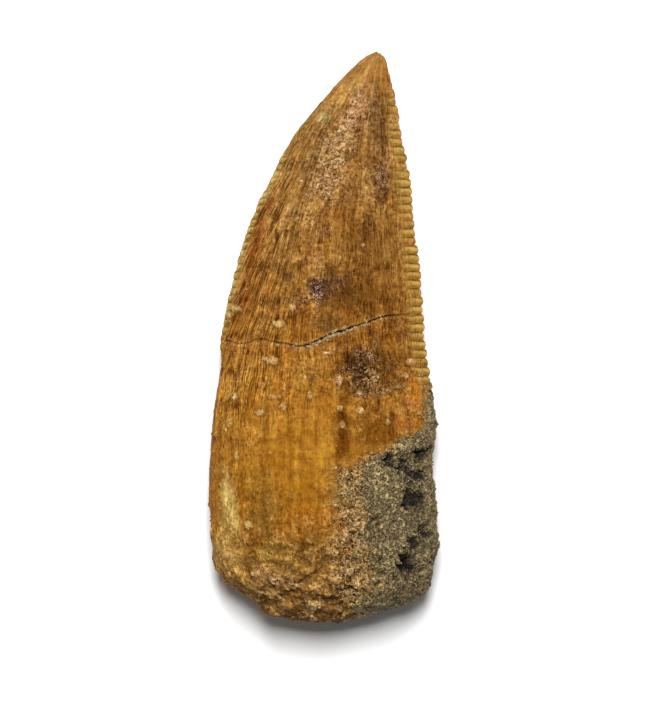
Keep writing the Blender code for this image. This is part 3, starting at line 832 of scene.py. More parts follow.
@dataclass(frozen=True)
class EnamelFinish:
    """Stained fossil enamel: satin, streaked along the tooth, with gritty and glassy patches."""

    grit: bpy.types.NodeTree
    fibres: bpy.types.NodeTree
    crust: bpy.types.NodeTree
    depth: Colour = (0.93, 0.92, 0.70)
    # Tones by relief: darker in the grooves and seams, partly dirt and partly painted shade, and paler up to
    # a painted highlight on the crests and grains.
    painted_relief_light: list[tuple[float, Colour]] = field(default_factory=lambda: [
        (0.0, (0.33, 0.19, 0.04)), (0.25, (0.64, 0.50, 0.28)), (0.5, (0.97, 0.93, 0.82)),
        (0.72, (1.16, 1.15, 1.12)), (1.0, (1.8, 1.9, 2.2)),
    ])
    warm_patch: Colour = (1.08, 0.96, 0.8)
    cool_patch: Colour = (0.95, 1.02, 1.0)
    pale_blotch: Colour = (1.34, 1.34, 1.34)
    dark_blotch: Colour = (0.64, 0.5, 0.28)
    streak_shade: Colour = (0.62, 0.48, 0.26)
    pit_shade: Colour = (0.5, 0.37, 0.2)
    gap_shade: Colour = (0.36, 0.25, 0.14)
    rim_highlight_colour: Colour = (0.68, 0.46, 0.25)
    glint_colour: Colour = (0.64, 0.44, 0.24)
    dust_colour: Colour = (0.27, 0.175, 0.07)
    tooth_body: Colour = (0.40, 0.21, 0.022)
    tooth_highlight: Colour = (0.62, 0.41, 0.12)
    tooth_shade: Colour = (0.19, 0.1, 0.01)
    distal_run: float = 0.7
    mesial_run: float = 0.26
    relief_height: float = 0.035
    grit_height: float = 0.02
    grit_grain: float = 9.5
    skin_grain: float = 6.0
    blotch_waves: float = 1500.0
    hue_waves: float = 700.0
    specular_level: float = 0.015
    coat_roughness: float = 0.14
    coat_share: float = 0.14

    def serration(
        self, pen: Nodes, name: str, run: float, bold: float, shade: object
    ) -> tuple[object, object]:
        """Colour the denticles of one edge: their own warm colour, painted shade in the groove between them
        and on the lower half, and a painted highlight on the upper half.

        Args:
            pen: writes the tree.
            name: the attribute with a denticle's number, the distance inwards and a strength.
            run: how far the denticles reach inwards.
            bold: how strongly they show.
            shade: the colour so far.

        Returns:
            The new colour and the groove mask.
        """
        number, inwards, strength = pen.split(pen.attribute(name)["Vector"], SPLIT_VECTOR)
        shifted = pen.plus(number, MIDDLE)
        along, own = pen.math("FRACT", shifted), pen.lottery(pen.math("FLOOR", shifted))
        off = pen.apart(along, MIDDLE)
        reach = pen.stretch(inwards, run * 0.25, run * 1.1, 1.0, 0.0)
        held = pen.times(pen.times(reach, strength), bold)
        held = pen.times(held, pen.stretch(own, 0.0, 0.8, 0.35, 1.0))
        # Painted shade in the groove and on each denticle's lower half, painted highlight on its upper half.
        groove = pen.times(pen.stretch(off, 0.36, 0.48), held)
        foot = pen.times(pen.stretch(along, 0.5, 0.12), held)
        lit_half = pen.times(pen.stretch(along, 0.42, 0.72), held)
        shade = pen.mix(pen.times(held, 0.55), shade, self.tooth_body)
        shade = pen.mix(pen.times(lit_half, 0.6), shade, self.tooth_highlight)
        shade = pen.mix(pen.times(foot, 0.6), shade, self.tooth_shade)
        return pen.tone(pen.times(groove, 0.85), shade, self.gap_shade), groove

    def mottle(self, pen: Nodes, shade: object, hues: object, blotches: object, streaks: object) -> object:
        """Break a colour up.

        Args:
            pen: writes the tree.
            shade: the colour so far.
            hues: broad noise, for warmer and cooler patches.
            blotches: finer noise, for pale and dark blotches.
            streaks: mask of dark streaks along the tooth.

        Returns:
            The new colour.
        """
        shade = pen.tone(pen.stretch(hues, 0.5, 0.68, 0.0, 0.5), shade, self.warm_patch)
        shade = pen.tone(pen.stretch(hues, 0.46, 0.34, 0.0, 0.5), shade, self.cool_patch)
        shade = pen.tone(pen.stretch(blotches, 0.48, 0.62, 0.0, 0.55), shade, self.pale_blotch)
        shade = pen.tone(pen.stretch(blotches, 0.52, 0.34, 0.0, 0.6), shade, self.dark_blotch)
        return pen.tone(pen.times(streaks, 0.55), shade, self.streak_shade)

    def build(self) -> bpy.types.Material:
        """Make the material."""
        material, pen, shader, where = start_material("fossil_enamel")
        tint = pen.attribute("tint")["Color"]
        lined, gritty, dusty = pen.split(pen.attribute("wear")["Color"])
        fibre = pen.group(self.fibres, Flow=pen.attribute("flow")["Vector"], Place=where, Amount=lined)
        grain = pen.group(self.grit, Place=where, Grain=self.grit_grain / MM, Amount=gritty)
        crust = pen.group(self.crust, Place=where, Amount=gritty)
        blotches = pen.noise(where, self.blotch_waves, 4.0, 0.65)
        hues = pen.noise(where, self.hue_waves, 3.0, 0.6)

        specks = pen.minus(pen.noise(where, self.skin_grain / MM, 2.0, 0.6), MIDDLE)
        rough = pen.plus(pen.stretch(gritty, 0.05, 0.25, 0.9, 2.2), pen.stretch(gritty, 0.25, 1.0, 0.0, 0.8))
        crinkles = pen.times(crust["Relief"], pen.stretch(gritty, 0.75, 1.0, 1.0, 1.7))
        relief = pen.plus(pen.plus(fibre["Relief"], crinkles), pen.times(specks, rough))

        shade = self.mottle(pen, pen.tone(1.0, tint, self.depth), hues, blotches, fibre["Streak"])
        # Painted light by relief: shade in the grooves and seams, a bright highlight on the crests.
        swing = pen.math("DIVIDE", relief, pen.stretch(gritty, 0.3, 0.9, 1.3, 1.0))
        shade = pen.tone(1.0, shade, pen.ramp(pen.stretch(swing, -1.0, 1.0), self.painted_relief_light))
        shade, distal = self.serration(pen, "distal_edge", self.distal_run, 1.0, shade)
        shade, mesial = self.serration(pen, "mesial_edge", self.mesial_run, 0.9, shade)
        shade = pen.tone(pen.times(grain["Pit"], 0.6, clamp=True), shade, self.pit_shade)
        dust = pen.times(dusty, pen.stretch(blotches, 0.36, 0.6), clamp=True)
        shade = pen.mix(dust, shade, self.dust_colour)
        # Painted highlights along bright curved lines of the crust.
        rim_highlights = pen.times(crust["Highlight"], pen.stretch(gritty, 0.1, 0.8, 0.15, 1.7), clamp=True)
        shade = pen.mix(rim_highlights, shade, self.rim_highlight_colour)
        glints = pen.times(grain["Glint"], pen.stretch(gritty, 0.4, 0.9))
        pen.feed(shader["Base Color"], pen.mix(glints, shade, self.glint_colour))

        dull = pen.plus(pen.stretch(blotches, 0.3, 0.7, 0.36, 0.56), pen.times(dusty, 0.35))
        pen.feed(shader["Roughness"], dull)
        shader["Specular IOR Level"].default_value = self.specular_level
        shader["IOR"].default_value = 1.5
        shader["Coat Roughness"].default_value = self.coat_roughness
        shine = pen.times(rim_highlights, pen.minus(1.0, dusty))
        pen.feed(shader["Coat Weight"], pen.times(shine, self.coat_share))

        risen = pen.minus(relief, pen.times(pen.math("MAXIMUM", distal, mesial), 0.7))
        coarse = pen.bump(risen, self.relief_height)
        pen.feed(shader["Normal"], pen.bump(grain["Height"], self.grit_height, coarse))
        return material


@dataclass(frozen=True)
class SandstoneFinish:
    """Grey-khaki sandstone: salt-and-pepper grains, with painted shade in its pits and seams and painted
    highlights on its grains and crinkles.
    """

    grit: bpy.types.NodeTree
    crust: bpy.types.NodeTree
    grain: float = 12.5
    fineness: float = 1.05
    height: float = 0.07
    depth: Colour = (0.86, 0.86, 0.774)
    grain_hue: Colour = (1.0, 0.98, 0.94)
    levels: Points = field(default_factory=lambda: [
        (0.0, 0.4), (0.3, 0.7), (0.6, 0.95), (0.85, 1.2), (1.0, 1.7),
    ])
    # Painted light by relief: darker in the crust's seams, paler up to a highlight on its grains.
    seams: Points = field(default_factory=lambda: [(0.0, 0.2), (0.4, 0.76), (0.6, 1.0), (1.0, 1.75)])
    rim_highlight_colour: Colour = (0.46, 0.36, 0.20)
    patch_shade: Colour = (0.55, 0.52, 0.48)
    patch_waves: float = 1500.0
    specular_level: float = 0.35

    def build(self) -> bpy.types.Material:
        """Make the material."""
        material, pen, shader, where = start_material("khaki_sandstone")
        chance = pen.split(pen.cells(where, self.grain / MM)["Color"])
        tones = [(at, tuple(level * share for share in self.grain_hue)) for at, level in self.levels]
        shade = pen.tone(1.0, pen.attribute("tint")["Color"], pen.ramp(chance[0], tones))
        fine = pen.add("ShaderNodeVectorMath", operation="SCALE")
        pen.feed(fine.inputs[0], where)
        fine.inputs["Scale"].default_value = self.fineness
        crust = pen.group(self.crust, Place=fine.outputs[0], Amount=1.0)
        greys = [(at, (level,) * 3) for at, level in self.seams]
        shade = pen.tone(1.0, shade, pen.ramp(pen.stretch(crust["Relief"], -1.2, 1.0), greys))
        shade = pen.tone(1.0, shade, self.depth)
        # Painted highlights along bright curved lines of the crust, kept out of the pits.
        rim_highlights = pen.times(crust["Highlight"], pen.stretch(pen.attribute("depth")["Fac"], 0.3, 0.05))
        shade = pen.mix(pen.times(rim_highlights, 0.75), shade, self.rim_highlight_colour)
        patches = pen.noise(where, self.patch_waves, 4.0, 0.65)
        shade = pen.tone(pen.stretch(patches, 0.62, 0.35, 0.0, 0.6), shade, self.patch_shade)
        pen.feed(shader["Base Color"], shade)
        shader["Specular IOR Level"].default_value = self.specular_level
        pen.feed(shader["Roughness"], pen.stretch(chance[1], 0.0, 1.0, 0.98, 0.6))
        grain = pen.group(self.grit, Place=where, Grain=self.grain / MM, Amount=1.0)
        pen.feed(shader["Normal"], pen.bump(pen.plus(grain["Height"], crust["Relief"]), self.height))
        return material


@dataclass(frozen=True)
class GrainFinish:
    """Loose sand and clay crumbs: each takes its own colour, with darker flecks."""

    fleck_waves: float = 14000.0
    fleck_shade: Colour = (0.6, 0.56, 0.5)
    height: float = 0.008
    specular_level: float = 0.03

    def build(self) -> bpy.types.Material:
        """Make the material."""
        material, pen, shader, where = start_material("loose_grains")
        flecks = pen.noise(where, self.fleck_waves, 2.0, 0.6)
        tint = pen.attribute("tint")["Color"]
        shade = pen.tone(pen.stretch(flecks, 0.55, 0.35, 0.0, 0.7), tint, self.fleck_shade)
        pen.feed(shader["Base Color"], shade)
        pen.feed(shader["Roughness"], pen.stretch(flecks, 0.35, 0.65, 0.5, 0.9))
        shader["Specular IOR Level"].default_value = self.specular_level
        pen.feed(shader["Normal"], pen.bump(flecks, self.height))
        return material


@dataclass
class Crown:
    """The tooth's own surface, from the worn base to the tip, as one closed skin."""

    upper_columns: int = 206
    lower_columns: int = 42
    row_step: float = 0.097
    least_step: float = 0.012
    probe: float = 0.01
    base_cap_rows: int = 12
    tip_cap_rows: int = 4
    end: float = 14.985
    base_bulge: float = 0.03
    tip_bulge: float = 0.02
    hollow_at: tuple[float, float, float] = (0.0, -15.55, 2.3)
    hollow_size: tuple[float, float, float] = (2.1, 1.15, 1.15)
    dusting_rise: float = 0.04
    dusting_grain: float = 0.05
    dusting_colour: Colour = (0.27, 0.19, 0.085)

    def rows(self) -> tuple[np.ndarray, np.ndarray]:
        """Where the rows lie: closer together where the outline turns, and much closer at the crack.

        Returns:
            The place of each row along the tooth, and how much its ring is shrunk to close an end.
        """
        ys, y = [], -self.end
        while y < self.end:
            ys.append(y)
            at = np.array([y, y + self.probe])
            steepness = max(
                abs(np.diff(through(FORM.mesial, at))[0]) / self.probe,
                abs(np.diff(through(FORM.distal, at))[0]) / self.probe,
                abs(np.diff(through(FORM.thickness, at))[0]) / (2 * self.probe),
            )
            step = self.row_step / math.sqrt(1 + steepness**2 * 0.8)
            if abs(y - CRACK.level) < CRACK.dense_zone:
                step = CRACK.dense_step
            elif abs(y - CRACK.level) < CRACK.dense_zone + self.row_step:
                step = CRACK.dense_step * 2
            y += max(step, self.least_step)
        ys.append(self.end)
        base = [(-self.end, (k + 0.3) / (self.base_cap_rows + 0.3)) for k in range(self.base_cap_rows)]
        tip = [(self.end, 1 - (k + 1) / (self.tip_cap_rows + 0.3)) for k in range(self.tip_cap_rows)]
        listed = base + [(v, 1.0) for v in ys] + tip
        return np.array([v for v, _ in listed]), np.array([s for _, s in listed])

    def leans(self, column: np.ndarray, y: np.ndarray) -> tuple[np.ndarray, np.ndarray]:
        """Spread the columns over both faces: evenly on the crown, closer at the edges on the base.

        Args:
            column: number of each vertex's column, from 0 on the distal edge.
            y: its place along the tooth.

        Returns:
            Its place across the tooth, from -1 to 1, and its face, 1 or -1.
        """
        upper = column <= self.upper_columns
        lower_turn = (column - self.upper_columns) / self.lower_columns
        turn = np.where(upper, column / self.upper_columns, lower_turn)
        side = np.where(upper, 1.0, -1.0)
        even = side * (1 - 2 * turn)
        rounded = side * np.cos(math.pi * turn)
        share = 0.6 * ramp(y, -9.0, -3.0)
        return share * even + (1 - share) * rounded, side

    def build(
        self, painter: EnamelPainter, rock: "RockCrust", material: bpy.types.Material
    ) -> bpy.types.Object:
        """Wrap, wear, wrinkle, crack and paint the skin, and sink it where rock covers it.

        Args:
            painter: gives the colour by place.
            rock: the crust that covers a corner of the skin.
            material: the enamel.

        Returns:
            The finished skin.
        """
        row_y, row_scale = self.rows()
        columns, rows = self.upper_columns + self.lower_columns, len(row_y) - 1
        obj, column, row = wrapped_grid("tooth_skin", columns, rows)
        y_row, shrink = row_y[row], row_scale[row]
        lean, side = self.leans(column % columns, y_row)
        y = CRACK.bend(y_row, FORM.across(y_row, lean, FORM.distal))
        middle = FORM.middle(y)
        points = np.stack([FORM.across(y, lean, FORM.distal), y, middle + side * FORM.rise(y, lean)], axis=1)
        push = FORM.worn_push(points)
        points[:, 0] += lean * push
        points[:, 2] += side * np.sqrt(np.clip(1 - lean * lean, 0, 1)) * push
        centre = (through(FORM.mesial, y) + through(FORM.distal, y)) / 2
        points[:, 0] = centre + (points[:, 0] - centre) * shrink
        points[:, 2] = middle + (points[:, 2] - middle) * shrink
        points[:, 1] += np.where(y_row < 0, -self.base_bulge, self.tip_bulge) * (1 - shrink * shrink)
        points = self.hollow_end(points)
        points[:, 2] = np.clip(points[:, 2], 0, None)
        move_to(obj, points)
        write_vector(obj, "plan", np.stack([lean, side, y_row], axis=1))
        close_and_turn_out(obj)
        self.wear(obj, painter, rock)
        obj.data.materials.append(material)
        return obj

    def hollow_end(self, points: np.ndarray) -> np.ndarray:
        """Press the hollow of the broken root into the base end."""
        cx, cy, cz = self.hollow_at
        rx, ry, rz = self.hollow_size
        flat = ((points[:, 0] - cx) / rx) ** 2 + ((points[:, 2] - cz) / rz) ** 2
        wall = cy + ry * np.sqrt(np.clip(1 - flat, 0, 1))
        inside = (flat < 1) & (points[:, 1] < wall) & (points[:, 1] < -13.0)
        points[:, 1] = np.where(inside, wall, points[:, 1])
        return points

    def wear(self, obj: bpy.types.Object, painter: EnamelPainter, rock: "RockCrust") -> None:
        """Raise the fine relief, then colour the skin by place and relief.

        Args:
            obj: the skin, which still holds the plan of its grid.
            painter: gives the colour by place.
            rock: the crust; the skin sinks under it, and sand clings beside it.
        """
        flat = np.empty(len(obj.data.vertices) * 3)
        obj.data.attributes["plan"].data.foreach_get("vector", flat)
        lean, side, y_row = flat.reshape(-1, 3).T
        side = np.where(side > 0, 1.0, -1.0)
        points, normals = places_of(obj), normals_of(obj)
        height, lined, gritty, dusty, tint = EnamelRelief(points, lean, side, y_row, painter).shape()
        height *= 1 - ramp(points[:, 1], 14.5, 14.9)
        inside = rock.inside(points[:, 0], points[:, 1], side)
        height -= rock.bed * ramp(inside, 0.1, 0.5)
        dusted = rock.dusting(points, inside) * (side > 0)
        height += dusted * (self.dusting_rise + self.dusting_grain * coherent(points + 19.0, 4.0, 2))
        tint = lay_over(tint, 0.85 * dusted, self.dusting_colour)
        gritty = np.clip(gritty + 0.8 * dusted, 0, 1)
        points = points + normals * height[:, None]
        points[:, 2] = np.clip(points[:, 2], 0, None)
        move_to(obj, points)
        obj.data.attributes.remove(obj.data.attributes["plan"])
        dress_enamel(obj, points, lean, side, tint, np.stack([lined, gritty, dusty], axis=1))


def lane_of(points: np.ndarray, lean: np.ndarray) -> np.ndarray:
    """The lane of the enamel's fibres a place is in: they meet at the tip, most of all on the mesial side."""
    towards_mesial = ramp(-lean, -0.1, 0.5)
    return lean * (1 + 0.055 * np.maximum(points[:, 1], -2.0) * towards_mesial)


def dress_enamel(
    obj: bpy.types.Object, points: np.ndarray, lean: np.ndarray, side: np.ndarray,
    tint: np.ndarray, wear: np.ndarray,
) -> None:
    """Store everything the enamel's material reads.

    Args:
        obj: the piece.
        points: its vertices in millimetres.
        lean: place across the tooth, from -1 to 1.
        side: 1 on the upper face and -1 on the lower.
        tint: colour of each vertex.
        wear: masks of the grooves that run along the tooth, of grit and of dust.
    """
    write_colour(obj, "tint", tint)
    write_colour(obj, "wear", wear)
    flow = np.stack([lane_of(points, lean) * 36.0, points[:, 1] * 0.55, side * 7.0], axis=1)
    write_vector(obj, "flow", flow)
    for row in (DISTAL_ROW, MESIAL_ROW):
        write_vector(obj, row.attribute, row.number_at(points))


@dataclass
class EnamelRelief:
    """Small forms of the enamel, and the masks and colours that go with them, for a set of vertices.

    Each step adds to the height and lays its colours over those of the steps before.
    """

    points: np.ndarray
    lean: np.ndarray
    side: np.ndarray
    y_row: np.ndarray
    painter: EnamelPainter
    wrinkle_rise: float = 0.042
    flute_rise: float = 0.03
    knob_rise: float = 0.008
    patch_rise: float = 0.022
    bark_rise: float = 0.028
    granule_rise: float = 0.016
    lump_rise: float = 0.2
    corner_bulge: float = 0.16
    fleck_rise: float = 0.07
    flake_stretch: float = 1.6
    lip_rise: float = 0.06
    tan_and_highlight_top: Colour = (0.56, 0.36, 0.17)
    hollow_shade_colour: Colour = (0.11, 0.05, 0.014)
    sandy_colour: Colour = (0.28, 0.175, 0.06)
    fleck_colour: Colour = (0.50, 0.27, 0.10)
    lip_colour: Colour = (0.54, 0.36, 0.19)

    def __post_init__(self) -> None:
        """Work out the zones of the surface and the noises that several steps share."""
        x, y = self.points[:, 0], self.points[:, 1]
        self.upper = self.side > 0
        self.crown = ramp(y, -7.0, 0.5) * (1 - 0.7 * ramp(y, 11.5, 14.0))
        self.bark = bell(x - 0.42 * (y - 8.0), 0.0, 1.15) * bell(y, 9.6, 3.6) * self.upper
        self.base = 1 - ramp(y, -13.0, -8.5)
        self.calm = 1 - 0.65 * ramp(-x, 2.6, 4.2)
        self.near_rock = bell(x, 1.7, 1.0) * (1 - ramp(y, -7.6, -6.2)) * ramp(y, -14.4, -13.2) * self.upper
        self.polished = bell(x, -1.1, 2.6) * bell(y, -6.0, 2.6) * self.upper
        self.patchy = ramp(coherent(self.points + 7.0, 0.55, 2), -0.25, 0.35)
        self.knobs = coherent(self.points, 2.6, 3)
        self.granules = coherent(self.points, 5.2, 2)
        self.lumps = coherent(self.points + 3.0, 1.8, 3)
        self.wobble = coherent(self.points + 13.0, 5.5)
        self.height = np.zeros(len(y))
        self.tint = np.zeros((len(y), 3))

    def shape(self) -> tuple[np.ndarray, np.ndarray, np.ndarray, np.ndarray, np.ndarray]:
        """Take all steps in order.

        Returns:
            Height along the normal, groove mask, grit mask, dust mask and colour.
        """
        ridges, strength = self.wrinkle()
        gritty = self.grit()
        self.roughen(gritty)
        self.colour_ground(ridges * strength)
        flaked = self.stick_flakes(0.6 * self.scatter_flecks())
        self.open_crack()
        lined = np.clip(strength, 0, 1) * (1 - flaked)
        gritty = np.clip(gritty + 0.3 * flaked, 0, 1)
        dusty = 0.35 * self.near_rock * (self.lumps > 0) + 0.3 * self.base * np.clip(-self.lumps, 0, 1)
        dusty = np.clip(dusty + 0.3 * self.base * (self.side < 0), 0, 0.8)
        return self.height, lined, gritty, dusty, self.tint

    def wrinkle(self) -> tuple[np.ndarray, np.ndarray]:
        """Raise the wrinkles and flutes that run along the tooth.

        Returns:
            The form of the wrinkles, 1 on their crests, and how strong they are.
        """
        y = self.points[:, 1]
        half = (through(FORM.distal, y) - through(FORM.mesial, y)) / 2
        lane = lane_of(self.points, self.lean) * (0.35 + 0.65 * half / 5.4)
        sway = 0.4 * coherent(self.points, 0.9)
        fine = np.stack([lane * 17.0 + sway, y * 0.5, self.side * 9.0], axis=1)
        broad = np.stack([lane * 6.5 + sway, y * 0.2, self.side * 9.0], axis=1)
        flank = 0.38 + 0.85 * bell(self.lean, -0.8, 0.5) + 0.12 * bell(self.lean, 0.6, 0.3)
        smooth_tip = 1 - 0.75 * ramp(y, 9.5, 12.0) * ramp(-self.lean, 0.3, 0.7)
        strength = (0.2 + 0.8 * self.crown) * flank * (1 - 0.5 * self.bark) * smooth_tip
        ridges = 1 - 3.0 * np.abs(coherent(fine, 1.0))
        self.height += strength * (self.wrinkle_rise * ridges + self.flute_rise * coherent(broad, 1.0))
        return ridges, strength

    def grit(self) -> np.ndarray:
        """Where the surface is gritty: beside the rock, on the worn base, on blemishes and in patches."""
        x, y = self.points[:, 0], self.points[:, 1]
        blemish = bell(x, 2.4, 1.5) * bell(y, -2.0, 1.5)
        blemish += bell(x, -0.2, 1.0) * bell(y, 2.4, 0.8)
        blemish += bell(x, 3.1, 0.5) * bell(y, 8.1, 1.3)
        lined_flank = bell(self.lean, -0.85, 0.35) * ramp(y, -2.0, 1.0) * (1 - ramp(y, 7.0, 10.0))
        gritty = 0.14 + 0.22 * self.patchy * self.crown + 0.3 * self.base + 0.85 * self.near_rock
        gritty += 0.42 * self.bark + 0.35 * blemish * self.upper
        gritty -= 0.1 * self.polished + 0.12 * lined_flank + 0.3 * ramp(y, 12.6, 13.6)
        return np.clip(gritty, 0.05, 1)

    def roughen(self, gritty: np.ndarray) -> None:
        """Raise knobs and granules, the lumps of the worn end and those beside the rock."""
        x, y = self.points[:, 0], self.points[:, 1]
        knobbly = self.knob_rise + self.patch_rise * self.patchy * self.crown + self.bark_rise * self.bark
        self.height += knobbly * self.knobs
        self.height += self.granule_rise * (0.5 + 1.4 * gritty) * self.granules
        self.height += self.corner_bulge * bell(x, -3.0, 1.3) * (1 - ramp(y, -14.0, -12.8))
        held_in = 0.3 + 0.7 * ramp(y, -15.0, -14.0)
        self.height += self.lump_rise * self.base * self.lumps * held_in * self.calm
        self.height += self.near_rock * (self.lump_rise * (self.lumps + 0.15) + 0.06 * self.granules)

    def colour_ground(self, wrinkles: np.ndarray) -> None:
        """Paint by place, with painted shade in hollows and painted highlight on heights."""
        # Painted light by relief: darker in hollows, paler on the crests.
        hollow_shade_and_crest_light = wrinkles * 0.5 + self.knobs * (0.25 + 0.3 * self.patchy + 0.5 * self.base)
        hollow_shade_and_crest_light = np.clip(hollow_shade_and_crest_light + 0.35 * self.granules, -1.2, 1.0)
        self.tint = self.painter.paint(self.points, self.side) * (1 + 0.42 * hollow_shade_and_crest_light)[:, None]
        rough_ground = np.clip(self.base * self.calm + 0.8 * self.near_rock, 0, 1)
        heights = self.lumps + 0.4 * self.granules
        # Paler tops on the rough ground, partly its own tan and partly painted highlight; painted shade in
        # its hollows.
        self.tint = lay_over(self.tint, 0.7 * rough_ground * ramp(heights, 0.05, 0.55), self.tan_and_highlight_top)
        self.tint = lay_over(self.tint, 0.75 * rough_ground * ramp(-heights, 0.05, 0.5), self.hollow_shade_colour)
        sandy = 0.6 * self.near_rock * ramp(self.granules + 0.6 * self.knobs, -0.3, 0.35)
        self.tint = lay_over(self.tint, sandy, self.sandy_colour)

    def scatter_flecks(self) -> np.ndarray:
        """Raise small flecks of dried clay, and give where they lie."""
        y = self.points[:, 1]
        ground = 0.25 + 0.75 * (1 - ramp(y, -5.5, -3.5)) * ramp(y, -14.0, -12.0)
        ground = (ground + 0.5 * bell(y, -2.5, 2.0)) * self.upper
        flecks = ramp(coherent(self.points + 50.0, 2.4, 3) + 0.12 * self.wobble, 0.36, 0.5) * ground
        flecks *= 1 - 0.8 * self.polished
        self.height += self.fleck_rise * flecks
        self.tint = lay_over(self.tint, 0.55 * flecks, self.fleck_colour)
        return flecks

    def stick_flakes(self, flaked: np.ndarray) -> np.ndarray:
        """Raise the larger flakes, each ringed by painted shade.

        Args:
            flaked: how much of each point is covered already.

        Returns:
            The same, with the flakes.
        """
        for flake in FLAKES:
            across = (self.points[:, 0] - flake.x) / flake.wide
            far = np.hypot(across, (self.points[:, 1] - flake.y) / flake.long) + 0.45 * self.wobble
            cover = (1 - ramp(far, 0.72, 1.08)) * self.upper
            self.height += self.flake_stretch * flake.rise * cover * (0.85 + 0.5 * self.wobble)
            # Painted shade in a ring round each flake's edge.
            self.tint = self.tint * (1 - 0.45 * bell(far, 1.18, 0.16) * self.upper)[:, None]
            self.tint = lay_over(self.tint, 0.9 * cover, flake.colour)
            flaked = np.maximum(flaked, cover)
        return flaked

    def open_crack(self) -> None:
        """Cut the crack, darken it by depth as painted shade and leave clay on its lips."""
        x, offset = self.points[:, 0], self.y_row - CRACK.level
        depth = CRACK.cut(offset, x, self.side)
        self.height -= depth
        # Painted shade: the crack is darker the deeper it is.
        self.tint = lay_over(self.tint, np.clip(depth / CRACK.full_shade_depth, 0, 1), CRACK_SHADOW)
        lip = bell(offset, -0.15, 0.08) + 0.6 * bell(offset, 0.12, 0.05)
        lip = lip * through(CRACK.depth, x) * self.upper / CRACK.open_depth
        lip *= 1 - 0.65 * ramp(x, 0.6, 2.2)
        lip = np.clip(lip * (0.7 + 1.4 * self.wobble), 0, 0.85)
        self.height += self.lip_rise * lip
        self.tint = lay_over(self.tint, lip, self.lip_colour)


